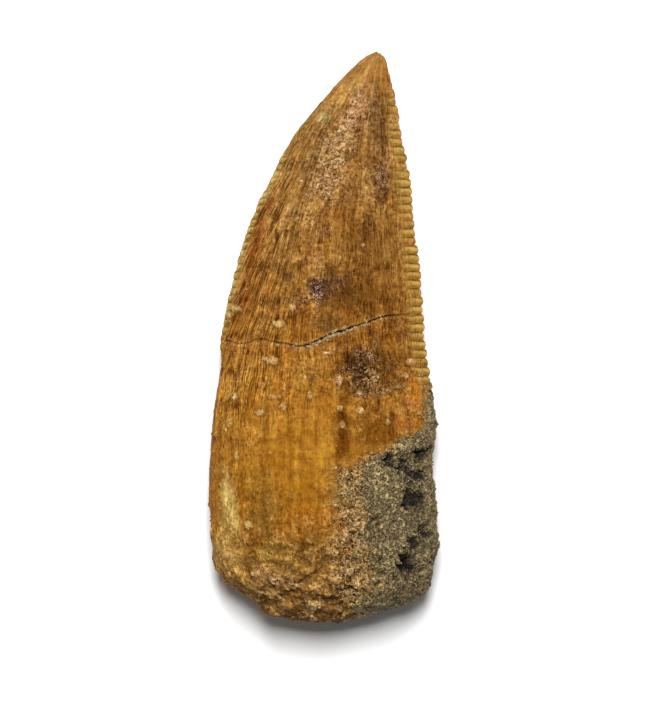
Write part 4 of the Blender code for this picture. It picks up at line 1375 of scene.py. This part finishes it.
@dataclass(frozen=True)
class DenticleRow:
    """A row of chisel denticles along one edge, modelled once and copied."""

    name: str
    attribute: str
    edge: Points
    outwards: float
    start: float
    end: float
    pitch: tuple[float, float]
    rise: float
    run: float
    shoulder: float
    blade: float
    lift: float
    seed: int
    fill: float = 1.08
    roundness: float = 0.75
    cuts: int = 5
    lean: float = 0.05
    jitter: float = 0.035
    sizes: tuple[float, float] = (0.6, 1.25)
    roughness: float = 0.012

    def places(self) -> list[float]:
        """Where the denticles stand along the tooth, one pitch apart on the curve of the edge."""
        step = 0.01
        found, y = [], self.start
        while y < self.end:
            found.append(y)
            share = (y - self.start) / (self.end - self.start)
            wanted = self.pitch[0] + (self.pitch[1] - self.pitch[0]) * share
            travelled = 0.0
            while travelled < wanted:
                pair = through(self.edge, np.array([y, y + step]))
                travelled += math.hypot(step, pair[1] - pair[0])
                y += step
        return found

    def number_at(self, points: np.ndarray) -> np.ndarray:
        """Tell the material where the denticles are.

        Args:
            points: places in millimetres.

        Returns:
            For each, the running number of the denticle it is level with, the distance inwards
            from the edge and how strong the row is there.
        """
        places = np.array(self.places())
        y = points[:, 1]
        slope = (through(self.edge, y + 0.05) - through(self.edge, y - 0.05)) / 0.1
        cosine = 1 / np.hypot(1, slope)
        inwards = (through(self.edge, y) - points[:, 0]) * self.outwards * cosine
        level = y + inwards * self.outwards * slope * cosine
        number = np.interp(level, places, np.arange(len(places)))
        strength = ramp(y, self.start - 0.5, self.start + 1.5)
        strength *= 1 - 0.8 * ramp(y, self.end - 5.0, self.end + 0.3)
        number = number + 0.1 * coherent(points, 2.3) + 0.12 * ramp(inwards, 0.0, self.run)
        return np.stack([number, inwards + 0.12 * coherent(points + 4.0, 3.0), strength], axis=1)

    def unworn(self, y0: float) -> float:
        """How much of a denticle is left at a place: less at both ends of the row."""
        at = np.array(y0)
        left = 1 - 0.5 * (1 - float(ramp(at, self.start, self.start + 2.5)))
        left *= 1 - 0.35 * float(ramp(at, self.end - 6.0, self.end - 1.5))
        return left * (1 - 0.75 * float(ramp(at, self.end - 1.5, self.end)))

    def one(self) -> bpy.types.Object:
        """Model one denticle in a unit block: x along the edge, y outwards, z across the blade."""
        bpy.ops.object.select_all(action="DESELECT")
        bpy.ops.mesh.primitive_cube_add(size=2.0, location=(0, 0, 0))
        block = bpy.context.active_object
        bpy.ops.object.mode_set(mode="EDIT")
        bpy.ops.mesh.select_all(action="SELECT")
        bpy.ops.mesh.subdivide(number_cuts=self.cuts)
        bpy.ops.mesh.select_all(action="SELECT")
        bpy.ops.transform.tosphere(value=self.roundness)
        bpy.ops.object.mode_set(mode="OBJECT")
        return block

    def seat(self, block: np.ndarray, y0: float, size: float) -> np.ndarray:
        """Bend the unit block onto the edge at one place.

        Args:
            block: vertices of the unit block.
            y0: place of the denticle along the tooth.
            size: its share of the full size.

        Returns:
            The denticle's vertices in millimetres.
        """
        pair = through(self.edge, np.array([y0, y0 + 0.05]))
        along = np.array([pair[1] - pair[0], 0.05]) / math.hypot(pair[1] - pair[0], 0.05)
        out = np.array([along[1], -along[0]]) * self.outwards
        rise = self.rise * size
        run = self.run * (1 - 0.5 * float(ramp(np.array(y0), self.end - 6.0, self.end)))
        inwards = (1 - block[:, 1]) / 2 * (run + rise) - rise
        reach = block[:, 0] * self.pitch[0] * self.fill / 2 * (1 - 0.25 * ramp(inwards, 0.3 * run, run))
        reach += self.lean * (1 - ramp(inwards, -rise, 0.4 * run))
        x = pair[0] - out[0] * inwards + along[0] * reach
        y = y0 - out[1] * inwards + along[1] * reach
        share = np.clip(inwards / run, 0, 1)
        flank = FORM.rise(y, FORM.lean_at(y, x, FORM.distal)) + self.lift * (1 - 1.9 * share)
        beyond = self.blade + (self.shoulder - self.blade) * np.clip(1 + inwards / rise, 0, 1)
        half = np.where(inwards > 0, np.maximum(flank, self.shoulder * (1 - share)), beyond)
        roof = np.sign(block[:, 2]) * np.clip(np.abs(block[:, 2]) / np.abs(block[:, 2]).max(), 0, 1) ** 0.5
        return np.stack([x, y, FORM.middle(y) + roof * half], axis=1)

    def build(self, painter: EnamelPainter, material: bpy.types.Material) -> bpy.types.Object:
        """Copy, seat, join and paint the row.

        Args:
            painter: gives the colour by place.
            material: the enamel.

        Returns:
            The row as one object.
        """
        chance = random.Random(self.seed)
        model = self.one()
        block = places_of(model) * MM
        copies = []
        for y0 in self.places():
            place = y0 + chance.uniform(-self.jitter, self.jitter)
            size = self.unworn(y0) * chance.uniform(*self.sizes)
            copy = model.copy()
            copy.data = model.data.copy()
            bpy.context.scene.collection.objects.link(copy)
            move_to(copy, self.seat(block, place, size))
            copies.append(copy)
        bpy.data.objects.remove(model)
        bpy.ops.object.select_all(action="DESELECT")
        for copy in copies:
            copy.select_set(True)
        bpy.context.view_layer.objects.active = copies[0]
        bpy.ops.object.join()
        row = bpy.context.active_object
        row.name = row.data.name = self.name
        bpy.ops.object.mode_set(mode="EDIT")
        bpy.ops.mesh.select_all(action="SELECT")
        bpy.ops.mesh.normals_make_consistent(inside=False)
        bpy.ops.object.mode_set(mode="OBJECT")
        bpy.ops.object.shade_smooth()
        self.dress(row, np.tile(block, (len(copies), 1)), painter)
        row.data.materials.append(material)
        return row

    def dress(self, row: bpy.types.Object, local: np.ndarray, painter: EnamelPainter) -> None:
        """Roughen the row and paint it as the skin beside it, darker in its lows and paler on its highs as
        painted light.
        """
        points, normals = places_of(row), normals_of(row)
        side = np.where(local[:, 2] >= 0, 1.0, -1.0)
        lean = FORM.lean_at(points[:, 1], points[:, 0], FORM.distal)
        rough = coherent(points, 6.0, 2)
        points = points + normals * (self.roughness * rough)[:, None]
        move_to(row, points)
        # Painted light: darker where the roughening sinks, paler where it rises.
        tint = painter.paint(points, side) * (1 + 0.3 * rough)[:, None]
        wear = np.tile(np.array([0.3, 0.35, 0.0]), (len(points), 1))
        dress_enamel(row, points, lean, side, tint, wear)


DISTAL_ROW = DenticleRow(
    name="distal_denticles", attribute="distal_edge", edge=FORM.distal, outwards=1.0,
    start=-3.3, end=13.75, pitch=(0.465, 0.42),
    rise=0.17, run=0.6, shoulder=0.24, blade=0.1, lift=0.035, seed=3,
)
MESIAL_ROW = DenticleRow(
    name="mesial_denticles", attribute="mesial_edge", edge=FORM.mesial, outwards=-1.0,
    start=-0.6, end=12.3, pitch=(0.43, 0.38),
    rise=0.1, run=0.22, shoulder=0.2, blade=0.08, lift=0.015, seed=8,
)


@dataclass
class RockCrust:
    """The sandstone left on the distal corner of the base."""

    outer_columns: int = 170
    inner_columns: int = 36
    rows: int = 190
    cap_rows: int = 16
    first: float = -15.0
    last: float = -1.9
    border: Points = field(default_factory=lambda: [
        (-16.2, 1.9), (-14.7, 2.1), (-14.3, 1.7), (-13.7, 1.95), (-13.4, 2.6), (-12.8, 2.65), (-12.1, 2.8),
        (-11.5, 2.45), (-11.1, 2.35), (-10.7, 2.0), (-9.9, 1.95), (-9.5, 2.3), (-9.05, 2.1), (-8.3, 1.85),
        (-7.6, 1.9), (-6.9, 2.1), (-6.4, 2.45), (-6.1, 3.2), (-5.5, 4.0), (-5.1, 5.05), (-4.9, 5.35),
        (-4.4, 5.58), (-3.2, 5.64), (-2.5, 5.72), (-2.2, 5.95),
    ])
    under: Points = field(default_factory=lambda: [
        (-16.2, 3.2), (-13.0, 1.9), (-9.0, 1.2), (-6.0, 0.6), (-2.2, 0.3),
    ])
    shell: Points = field(default_factory=lambda: [
        (-15.0, 0.6), (-7.0, 0.6), (-5.0, 0.3), (-1.9, 0.15),
    ])
    mounds: list[tuple[float, float, float, float, float]] = field(default_factory=lambda: [
        (3.3, -8.6, 0.8, 1.5, 0.32), (3.6, -10.9, 0.8, 1.6, 0.24), (3.4, -13.3, 1.1, 0.9, 0.16),
        (5.3, -5.5, 0.5, 0.5, 0.16), (4.3, -5.9, 0.5, 0.35, 0.2), (5.6, -8.6, 0.3, 1.3, 0.16),
        (5.5, -12.7, 0.4, 0.9, 0.14), (2.7, -7.4, 0.4, 0.5, 0.16),
    ])
    pits: list[tuple[float, float, float, float]] = field(default_factory=lambda: [
        (5.14, -6.26, 0.42, 0.5), (4.86, -6.1, 0.26, 0.3), (5.46, -6.05, 0.26, 0.3),
        (3.41, -6.53, 0.4, 0.45), (4.2, -6.89, 0.48, 0.48), (4.52, -7.12, 0.28, 0.34),
        (4.9, -7.4, 0.42, 0.42), (4.6, -8.68, 0.58, 0.6), (4.22, -8.56, 0.28, 0.36),
        (4.96, -8.44, 0.32, 0.45), (5.25, -10.35, 0.4, 0.42), (4.55, -10.95, 0.5, 0.5),
        (4.3, -11.9, 0.66, 0.6), (4.0, -11.7, 0.42, 0.5), (4.75, -12.2, 0.36, 0.4),
        (5.6, -11.9, 0.24, 0.3), (2.9, -9.9, 0.2, 0.16), (2.75, -7.9, 0.2, 0.14),
        (3.9, -13.9, 0.24, 0.2),
    ])
    valley: Points = field(default_factory=lambda: [
        (-14.0, 4.5), (-12.0, 4.5), (-10.5, 4.75), (-8.6, 4.75), (-7.2, 4.6), (-6.0, 5.2),
    ])
    valley_width: float = 0.34
    valley_depth: float = 0.09
    bed: float = 0.8
    sunk: float = 0.34
    proud: float = 0.09
    rise: float = 0.22
    grain: float = 1.25
    floor_gap: float = 0.12
    end_bulge: float = 0.08
    end_setback: float = 0.04
    khaki: Colour = (0.37, 0.275, 0.13)
    ash: Colour = (0.27, 0.195, 0.092)
    # Near black, painted as shade in the pits.
    pit_shadow: Colour = (0.02, 0.014, 0.009)
    rusty: Colour = (0.40, 0.27, 0.12)
    shaded: Colour = (0.18, 0.135, 0.07)
    brown_rim: Colour = (0.27, 0.15, 0.04)

    def edges(self, y: np.ndarray) -> tuple[np.ndarray, np.ndarray]:
        """The x of the crust's border on the upper face and on the lower face."""
        outer = through(FORM.crusted, y)
        return through(self.border, y), np.maximum(outer, 2.4) - through(self.under, y)

    def inside(self, x: np.ndarray, y: np.ndarray, side: np.ndarray) -> np.ndarray:
        """How far inside the crust's border a place is, negative outside it."""
        upper, lower = self.edges(y)
        return np.minimum(np.where(side > 0, x - upper, x - lower), self.last - 0.25 - y)

    def dusting(self, points: np.ndarray, inside: np.ndarray) -> np.ndarray:
        """How much sand clings to the enamel beside the crust's border.

        Args:
            points: places in millimetres.
            inside: how far inside the border each is, negative outside it.

        Returns:
            A patchy cover, 1 at the border and 0 away from it.
        """
        patches = 0.6 * coherent(points + 17.0, 2.4, 3)
        sheltered = 1 - 0.7 * ramp(points[:, 1], -6.6, -5.6) - 0.5 * bell(points[:, 1], -11.8, 0.9)
        return ramp(inside + patches, -0.62, -0.02) * sheltered

    def build(self, material: bpy.types.Material) -> bpy.types.Object:
        """Wrap the crust round the edge as a closed body, roughen it and colour it.

        Args:
            material: the sandstone.

        Returns:
            The crust.
        """
        columns = self.outer_columns + self.inner_columns
        obj, column, row = wrapped_grid("sandstone_crust", columns, self.rows + self.cap_rows)
        column = column % columns
        along = np.clip((row - self.cap_rows) / self.rows, 0, 1)
        shrink = np.clip((row + 0.4) / (self.cap_rows + 0.4), 0, 1)
        closer_at_ends = 0.08 * np.sin(2 * math.pi * along) / (2 * math.pi)
        y = self.first + (self.last - self.first) * (along - closer_at_ends)
        upper, lower = self.edges(y)
        start = np.arccos(FORM.lean_at(y, upper - 0.9, FORM.crusted))
        stop = -np.arccos(FORM.lean_at(y, lower - 0.5, FORM.crusted))
        outer = column <= self.outer_columns
        back = (column - self.outer_columns) / self.inner_columns
        forth = column / self.outer_columns
        angle = np.where(outer, start + (stop - start) * forth, stop + (start - stop) * back)
        points, away, side = self.skin(angle, y)
        push = FORM.worn_push(points)
        ragged = 0.7 * coherent(points, 2.3, 4) * (1 - 0.75 * ramp(y, -5.4, -4.9))
        inside = self.inside(points[:, 0], y, side) + ragged
        cover = ramp(inside, -0.25, 0.4)
        lumps = self.rise * coherent(points, self.grain, 4) * (1 - 0.5 * bell(away[:, 0], 1.0, 0.1))
        swell = self.swell(points, side)
        pitted = self.pit_depth(points, side)
        grit = 0.08 * coherent(points, 3.6, 3) + 0.02 * coherent(points, 9.0)
        proud = self.proud - 0.1 * bell(away[:, 0], 1.0, 0.12)
        lift = (proud + lumps + swell) * cover - self.sunk * (1 - cover) + push + (grit - pitted) * cover
        lift = np.where(outer, lift, push - self.sunk - through(self.shell, y))
        points = points + away * lift[:, None]
        points = self.close_base(points, start, stop, back, outer, y, shrink)
        points[:, 2] = np.clip(points[:, 2], self.floor_gap, None)
        move_to(obj, points)
        write_colour(obj, "tint", self.tones(points, pitted, cover, lumps + swell))
        obj.data.attributes.new("depth", "FLOAT", "POINT").data.foreach_set("value", pitted)
        close_and_turn_out(obj)
        obj.data.materials.append(material)
        return obj

    def skin(self, angle: np.ndarray, y: np.ndarray) -> tuple[np.ndarray, np.ndarray, np.ndarray]:
        """Places on the body under the crust, the way out from it and the face they are on."""
        lean, side = np.cos(angle), np.where(angle >= 0, 1.0, -1.0)
        x = FORM.across(y, lean, FORM.crusted)
        z = FORM.middle(y) + side * FORM.rise(y, lean)
        away = np.stack([lean, 0 * lean, side * np.sqrt(np.clip(1 - lean * lean, 0, 1))], axis=1)
        return np.stack([x, y, z], axis=1), away, side

    def close_base(
        self, points: np.ndarray, start: np.ndarray, stop: np.ndarray, back: np.ndarray,
        outer: np.ndarray, y: np.ndarray, shrink: np.ndarray,
    ) -> np.ndarray:
        """Fill the section towards the base and draw the first rows together into an end face.

        Args:
            points: the crust's places so far.
            start: the angle round the body of the border on the upper face, for each.
            stop: the angle of the border on the lower face.
            back: how far along the inner wall each is.
            outer: which places are on the outer wall.
            y: place along the tooth.
            shrink: how far each row is drawn together, 1 where it isn't.

        Returns:
            The closed places.
        """
        head, _, _ = self.skin(start, y)
        foot, _, _ = self.skin(stop, y)
        chord = foot + (head - foot) * back[:, None]
        filled = (1 - ramp(y, -14.4, -13.2))[:, None] * (~outer)[:, None]
        points = points * (1 - filled) + chord * filled
        middle = (head + foot) / 2
        middle[:, 0] = (middle[:, 0] + through(FORM.crusted, y)) / 2
        points = middle + (points - middle) * shrink[:, None]
        uneven = 0.1 * coherent(points, 1.6, 3)
        bulge = (self.end_bulge * (1 - shrink * shrink) + uneven) * (shrink < 1)
        points[:, 1] = y - bulge + self.end_setback
        return points

    def swell(self, points: np.ndarray, side: np.ndarray) -> np.ndarray:
        """Height of the crust's mounds, less its valley."""
        wobble = 0.3 * coherent(points + 9.0, 1.8, 2)
        total = np.zeros(len(points))
        for x, y, wide, long, rise in self.mounds:
            far = np.hypot((points[:, 0] - x) / wide, (points[:, 1] - y) / long) + wobble
            total = np.maximum(total, rise * (1 - ramp(far, 0.2, 1.25)))
        groove = bell(points[:, 0], through(self.valley, points[:, 1]), self.valley_width)
        groove *= 1 - ramp(points[:, 1], -6.2, -5.4)
        return (total - self.valley_depth * groove * (0.8 + wobble)) * (side > 0)

    def pit_depth(self, points: np.ndarray, side: np.ndarray) -> np.ndarray:
        """How deep the pits go at each point."""
        wobble = 0.75 * coherent(points + 5.0, 3.0, 3)
        deep = np.zeros(len(points))
        for x, y, radius, depth in self.pits:
            far = np.hypot(points[:, 0] - x, points[:, 1] - y) / radius + wobble
            deep = np.maximum(deep, depth * (1 - ramp(far, 0.3, 1.15)) * (side > 0))
        return deep

    def tones(
        self, points: np.ndarray, pitted: np.ndarray, cover: np.ndarray, height: np.ndarray
    ) -> np.ndarray:
        """Khaki and ash, paler on the heights and darker in the lows as painted light, near black in the pits
        as painted shade, ochre where the crust thins out on the enamel.

        Args:
            points: places in millimetres.
            pitted: how deep the pits are there.
            cover: how whole the crust is, 0 where it has thinned out.
            height: the crust's relief.

        Returns:
            Linear red, green and blue, one row a point.
        """
        x, y = points[:, 0], points[:, 1]
        mottled = ramp(coherent(points + 2.0, 0.9, 3), -0.35, 0.45)
        tone = lay_over(np.tile(self.ash, (len(x), 1)), mottled, self.khaki)
        # Painted light: paler on the crust's heights, darker in its lows.
        tone = tone * (0.82 + 1.1 * np.clip(height, -0.3, 0.3))[:, None]
        tone = lay_over(tone, 0.3 * ramp(x, 4.3, 5.2), self.shaded)
        tone = lay_over(tone, 0.7 * (1 - ramp(cover, 0.45, 0.98)), self.rusty)
        tone = lay_over(tone, 0.75 * ramp(x, 5.45, 5.8) * bell(y, -8.6, 1.2), self.brown_rim)
        # Painted shade: near black in the pits.
        return lay_over(tone, 0.93 * ramp(pitted, 0.05, 0.26), self.pit_shadow)


@dataclass
class LooseGrains:
    """Sand grains and clay crumbs, each a small rough ball half sunk in what it sits on."""

    name: str
    count: int
    small: float
    large: float
    seed: int
    colours: list[Colour]
    flatten: float = 0.8
    unevenness: float = 0.18
    sits_up: float = 0.25
    mostly_small: float = 2.2

    def ball(self) -> tuple[np.ndarray, list[tuple[int, ...]]]:
        """Model one grain."""
        bpy.ops.object.select_all(action="DESELECT")
        bpy.ops.mesh.primitive_ico_sphere_add(subdivisions=1, radius=1.0, location=(0, 0, 0))
        grain = bpy.context.active_object
        corners = np.array([v.co[:] for v in grain.data.vertices])
        faces = [tuple(p.vertices) for p in grain.data.polygons]
        bpy.data.objects.remove(grain)
        return corners, faces

    def strew(
        self, ground: bpy.types.Object, odds_at: Callable[[np.ndarray, np.ndarray], np.ndarray],
        material: bpy.types.Material,
    ) -> bpy.types.Object:
        """Set grains on a piece.

        Args:
            ground: what they lie on.
            odds_at: gives from places and normals how likely a grain is there.
            material: what the grains are made of.

        Returns:
            The joined grains.
        """
        seats, normals = places_of(ground), normals_of(ground)
        odds = odds_at(seats, normals)
        rng = np.random.default_rng(self.seed)
        corners, faces = self.ball()
        chosen = rng.choice(len(seats), size=self.count, replace=False, p=odds / odds.sum())
        sizes = self.small + (self.large - self.small) * rng.random(len(chosen)) ** self.mostly_small
        places, loops, tints = [], [], []
        for index, size in zip(chosen, sizes):
            rough = corners * (1 + self.unevenness * rng.standard_normal((len(corners), 1)))
            squash = np.array([1.0, 1.0, self.flatten]) * (0.8 + 0.4 * rng.random(3))
            spin = rng.random() * 2 * math.pi
            turn = np.array(Matrix.Rotation(spin, 3, "Z"))
            here = seats[index] + normals[index] * size * self.sits_up
            places.append((rough * squash) @ turn.T * size + here)
            tint = np.array(self.colours[rng.integers(len(self.colours))]) * rng.uniform(0.7, 1.1)
            tints.append(np.tile(tint, (len(corners), 1)))
        stacked = np.concatenate(places)
        stacked[:, 2] = np.clip(stacked[:, 2], 0.0, None)
        for k in range(len(chosen)):
            loops.extend(tuple(v + k * len(corners) for v in face) for face in faces)
        mesh = bpy.data.meshes.new(self.name)
        mesh.from_pydata((stacked * MM).tolist(), [], loops)
        grains = bpy.data.objects.new(self.name, mesh)
        bpy.context.scene.collection.objects.link(grains)
        write_colour(grains, "tint", np.concatenate(tints))
        mesh.shade_smooth()
        mesh.materials.append(material)
        return grains


@dataclass
class Studio:
    """Pale floor, soft light from beyond the tip, and a camera that looks straight down."""

    photo_width: int = 665
    photo_height: int = 702
    object_middle_px: tuple[float, float] = (323.25, 336.0)
    mm_per_px: float = 30.0 / 570.0
    camera_height: float = 300.0
    focus_height: float = 2.8
    sensor: float = 36.0
    floor_size: float = 3000.0
    key_place: tuple[float, float, float] = (0.0, 220.0, 570.0)
    key_size: tuple[float, float] = (150.0, 280.0)
    key_watts: float = 5.2
    surround: float = 0.125

    def floor(self) -> bpy.types.Object:
        """A seamless white sheet."""
        bpy.ops.object.select_all(action="DESELECT")
        bpy.ops.mesh.primitive_plane_add(size=self.floor_size * MM, location=(0, 0, 0))
        sheet = bpy.context.active_object
        sheet.name = "floor"
        material, pen, shader, where = start_material("white_sheet")
        tone = pen.mix(pen.noise(where, 40.0, 3.0), (0.93, 0.93, 0.93), (0.95, 0.95, 0.95))
        pen.feed(shader["Base Color"], tone)
        shader["Roughness"].default_value = 0.9
        shader["Specular IOR Level"].default_value = 0.0
        sheet.data.materials.append(material)
        return sheet

    def lamp(
        self, name: str, place: tuple[float, float, float], size: tuple[float, float], watts: float
    ) -> bpy.types.Object:
        """A softbox that points at the tooth.

        Args:
            name: the lamp's name.
            place: where it hangs, in millimetres.
            size: its two sides, in millimetres.
            watts: its power.

        Returns:
            The lamp.
        """
        data = bpy.data.lights.new(name, "AREA")
        data.shape = "RECTANGLE"
        data.size, data.size_y = size[0] * MM, size[1] * MM
        data.energy = watts
        lamp = bpy.data.objects.new(name, data)
        lamp.location = Vector(place) * MM
        lamp.rotation_euler = (-lamp.location).to_track_quat("-Z", "Y").to_euler()
        bpy.context.scene.collection.objects.link(lamp)
        return lamp

    def lights(self) -> None:
        """A softbox above and a little beyond the tip, and an even white surround."""
        self.lamp("key_softbox", self.key_place, self.key_size, self.key_watts)
        world = bpy.data.worlds.new("surround")
        world.use_nodes = True
        background = world.node_tree.nodes["Background"]
        background.inputs["Color"].default_value = (1.0, 1.0, 1.0, 1.0)
        background.inputs["Strength"].default_value = self.surround
        bpy.context.scene.world = world

    def camera(self) -> bpy.types.Object:
        """Look straight down, framed as in the photograph."""
        data = bpy.data.cameras.new("overhead")
        tall = self.photo_height * self.mm_per_px
        data.sensor_width = self.sensor
        data.lens = (self.camera_height - self.focus_height) * self.sensor / tall
        data.clip_start = 0.01
        data.clip_end = 10.0
        camera = bpy.data.objects.new("overhead", data)
        across = (self.photo_width / 2 - self.object_middle_px[0]) * self.mm_per_px
        along = (self.object_middle_px[1] - self.photo_height / 2) * self.mm_per_px
        camera.location = Vector((across, along, self.camera_height)) * MM
        bpy.context.scene.collection.objects.link(camera)
        bpy.context.scene.camera = camera
        return camera

    def build(self) -> None:
        """Set everything up."""
        self.floor()
        self.lights()
        self.camera()
        bpy.context.scene.view_settings.view_transform = "Standard"


def hand_over(piece: bpy.types.Object, stands_for: str | None = None) -> None:
    """Ride a piece on the body and what it stands for, and report it."""
    if stands_for:
        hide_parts(stands_for)
    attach(piece, BODY)
    faces = sum(len(p.vertices) - 2 for p in piece.data.polygons)
    log.info("%s: %d triangles", piece.name, faces)


SPECK_COLOURS: list[Colour] = [
    (0.50, 0.29, 0.12), (0.38, 0.18, 0.06), (0.43, 0.2, 0.08), (0.56, 0.35, 0.17), (0.28, 0.13, 0.04),
]
RIM_COLOURS: list[Colour] = [
    (0.38, 0.22, 0.06), (0.38, 0.25, 0.09), (0.42, 0.28, 0.12), (0.26, 0.17, 0.07), (0.50, 0.37, 0.2),
]
CLAY_COLOURS: list[Colour] = [(0.50, 0.36, 0.19), (0.40, 0.27, 0.13), (0.30, 0.18, 0.08)]
SAND_COLOURS: list[Colour] = [
    (0.32, 0.24, 0.12), (0.24, 0.18, 0.09), (0.42, 0.32, 0.18), (0.16, 0.115, 0.055), (0.28, 0.19, 0.085),
]


def rim_odds(points: np.ndarray, normals: np.ndarray) -> np.ndarray:
    """Where coarse crumbs cling: along the border of the rock and on the worn end."""
    inside = RockCrust().inside(points[:, 0], points[:, 1], np.ones(len(points)))
    patch = 0.15 + ramp(coherent(points + 41.0, 1.3, 2), -0.1, 0.4)
    near = bell(inside, -0.15, 0.85) * (inside < 0.15) * ramp(points[:, 1], -14.5, -13.0)
    near *= 1 - 0.85 * ramp(points[:, 1], -7.6, -6.2)
    end = 0.02 * (1 - ramp(points[:, 1], -13.6, -12.2)) * (inside < 0.1)
    return (near + end) * patch * (normals[:, 2] > 0.1)


def crack_odds(points: np.ndarray, normals: np.ndarray) -> np.ndarray:
    """Where clay crumbs sit: mostly on the lower lip of the open crack, and a few on the upper one."""
    offset = points[:, 1] - through(CRACK.path, points[:, 0])
    opened = bell(points[:, 0], 0.3, 1.3) + 0.12 * bell(points[:, 0], 2.2, 1.4)
    return opened * (bell(offset, -0.13, 0.07) + 0.2 * bell(offset, 0.1, 0.05)) * (normals[:, 2] > 0.0)


def speck_odds(points: np.ndarray, normals: np.ndarray) -> np.ndarray:
    """Where crumbs cling to the enamel: along the rock, on the worn base and in scattered patches."""
    x, y = points[:, 0], points[:, 1]
    patch = ramp(coherent(points + 21.0, 0.8, 2), 0.0, 0.5)
    odds = 0.06 + 0.5 * patch
    odds += 6.0 * bell(x, 2.0, 0.8) * bell(y, -9.2, 2.4) + 0.2 * (1 - ramp(y, -13.4, -10.5))
    odds += 2.0 * bell(x, 3.6, 1.6) * bell(y, -2.8, 1.5) + 1.5 * bell(x + 4.6, 0.0, 0.8) * bell(y, 0.5, 3.5)
    odds += 2.0 * bell(x - 0.33 * (y - 8.0), 0.1, 0.9) * bell(y, 9.5, 3.0)
    off_rock = 1 - ramp(RockCrust().inside(x, y, np.ones(len(x))), -0.1, 0.2)
    return odds * off_rock * (normals[:, 2] > 0.15)


def sand_odds(points: np.ndarray, normals: np.ndarray) -> np.ndarray:
    """Where loose sand lies: all over the rock's upper side, but not in its pits."""
    rock, upper = RockCrust(), np.ones(len(points))
    bare = rock.inside(points[:, 0], points[:, 1], np.where(normals[:, 2] > 0, 1.0, -1.0)) > -0.25
    return bare * (normals[:, 2] > -0.3) * (1 - ramp(rock.pit_depth(points, upper), 0.05, 0.25))


def main() -> None:
    """Build the tooth, its rock and the studio."""
    logging.basicConfig(level=logging.INFO, format="%(name)s %(message)s")
    bpy.ops.object.select_all(action="DESELECT")
    grit, crust = build_grit_group(), build_crust_group()
    enamel = EnamelFinish(grit, build_fibre_group(), crust).build()
    rock, sand = SandstoneFinish(grit, crust).build(), GrainFinish().build()
    painter, matrix = EnamelPainter(), RockCrust()
    Studio().build()

    skin = Crown().build(painter, matrix, enamel)
    hand_over(skin, "tooth")
    for row in (DISTAL_ROW, MESIAL_ROW):
        hand_over(row.build(painter, enamel))
    for crumbs, odds in (
        (LooseGrains("enamel_crumbs", 620, 0.018, 0.06, 5, SPECK_COLOURS), speck_odds),
        (LooseGrains("rim_crumbs", 900, 0.025, 0.1, 6, RIM_COLOURS), rim_odds),
        (LooseGrains("crack_crumbs", 190, 0.03, 0.1, 7, CLAY_COLOURS), crack_odds),
    ):
        hand_over(crumbs.strew(skin, odds, sand))

    stone = matrix.build(rock)
    hand_over(stone, "matrix")
    grains = LooseGrains("sand_grains", 5200, 0.016, 0.05, 11, SAND_COLOURS)
    hand_over(grains.strew(stone, sand_odds, sand))


if __name__ == "__main__":
    main()
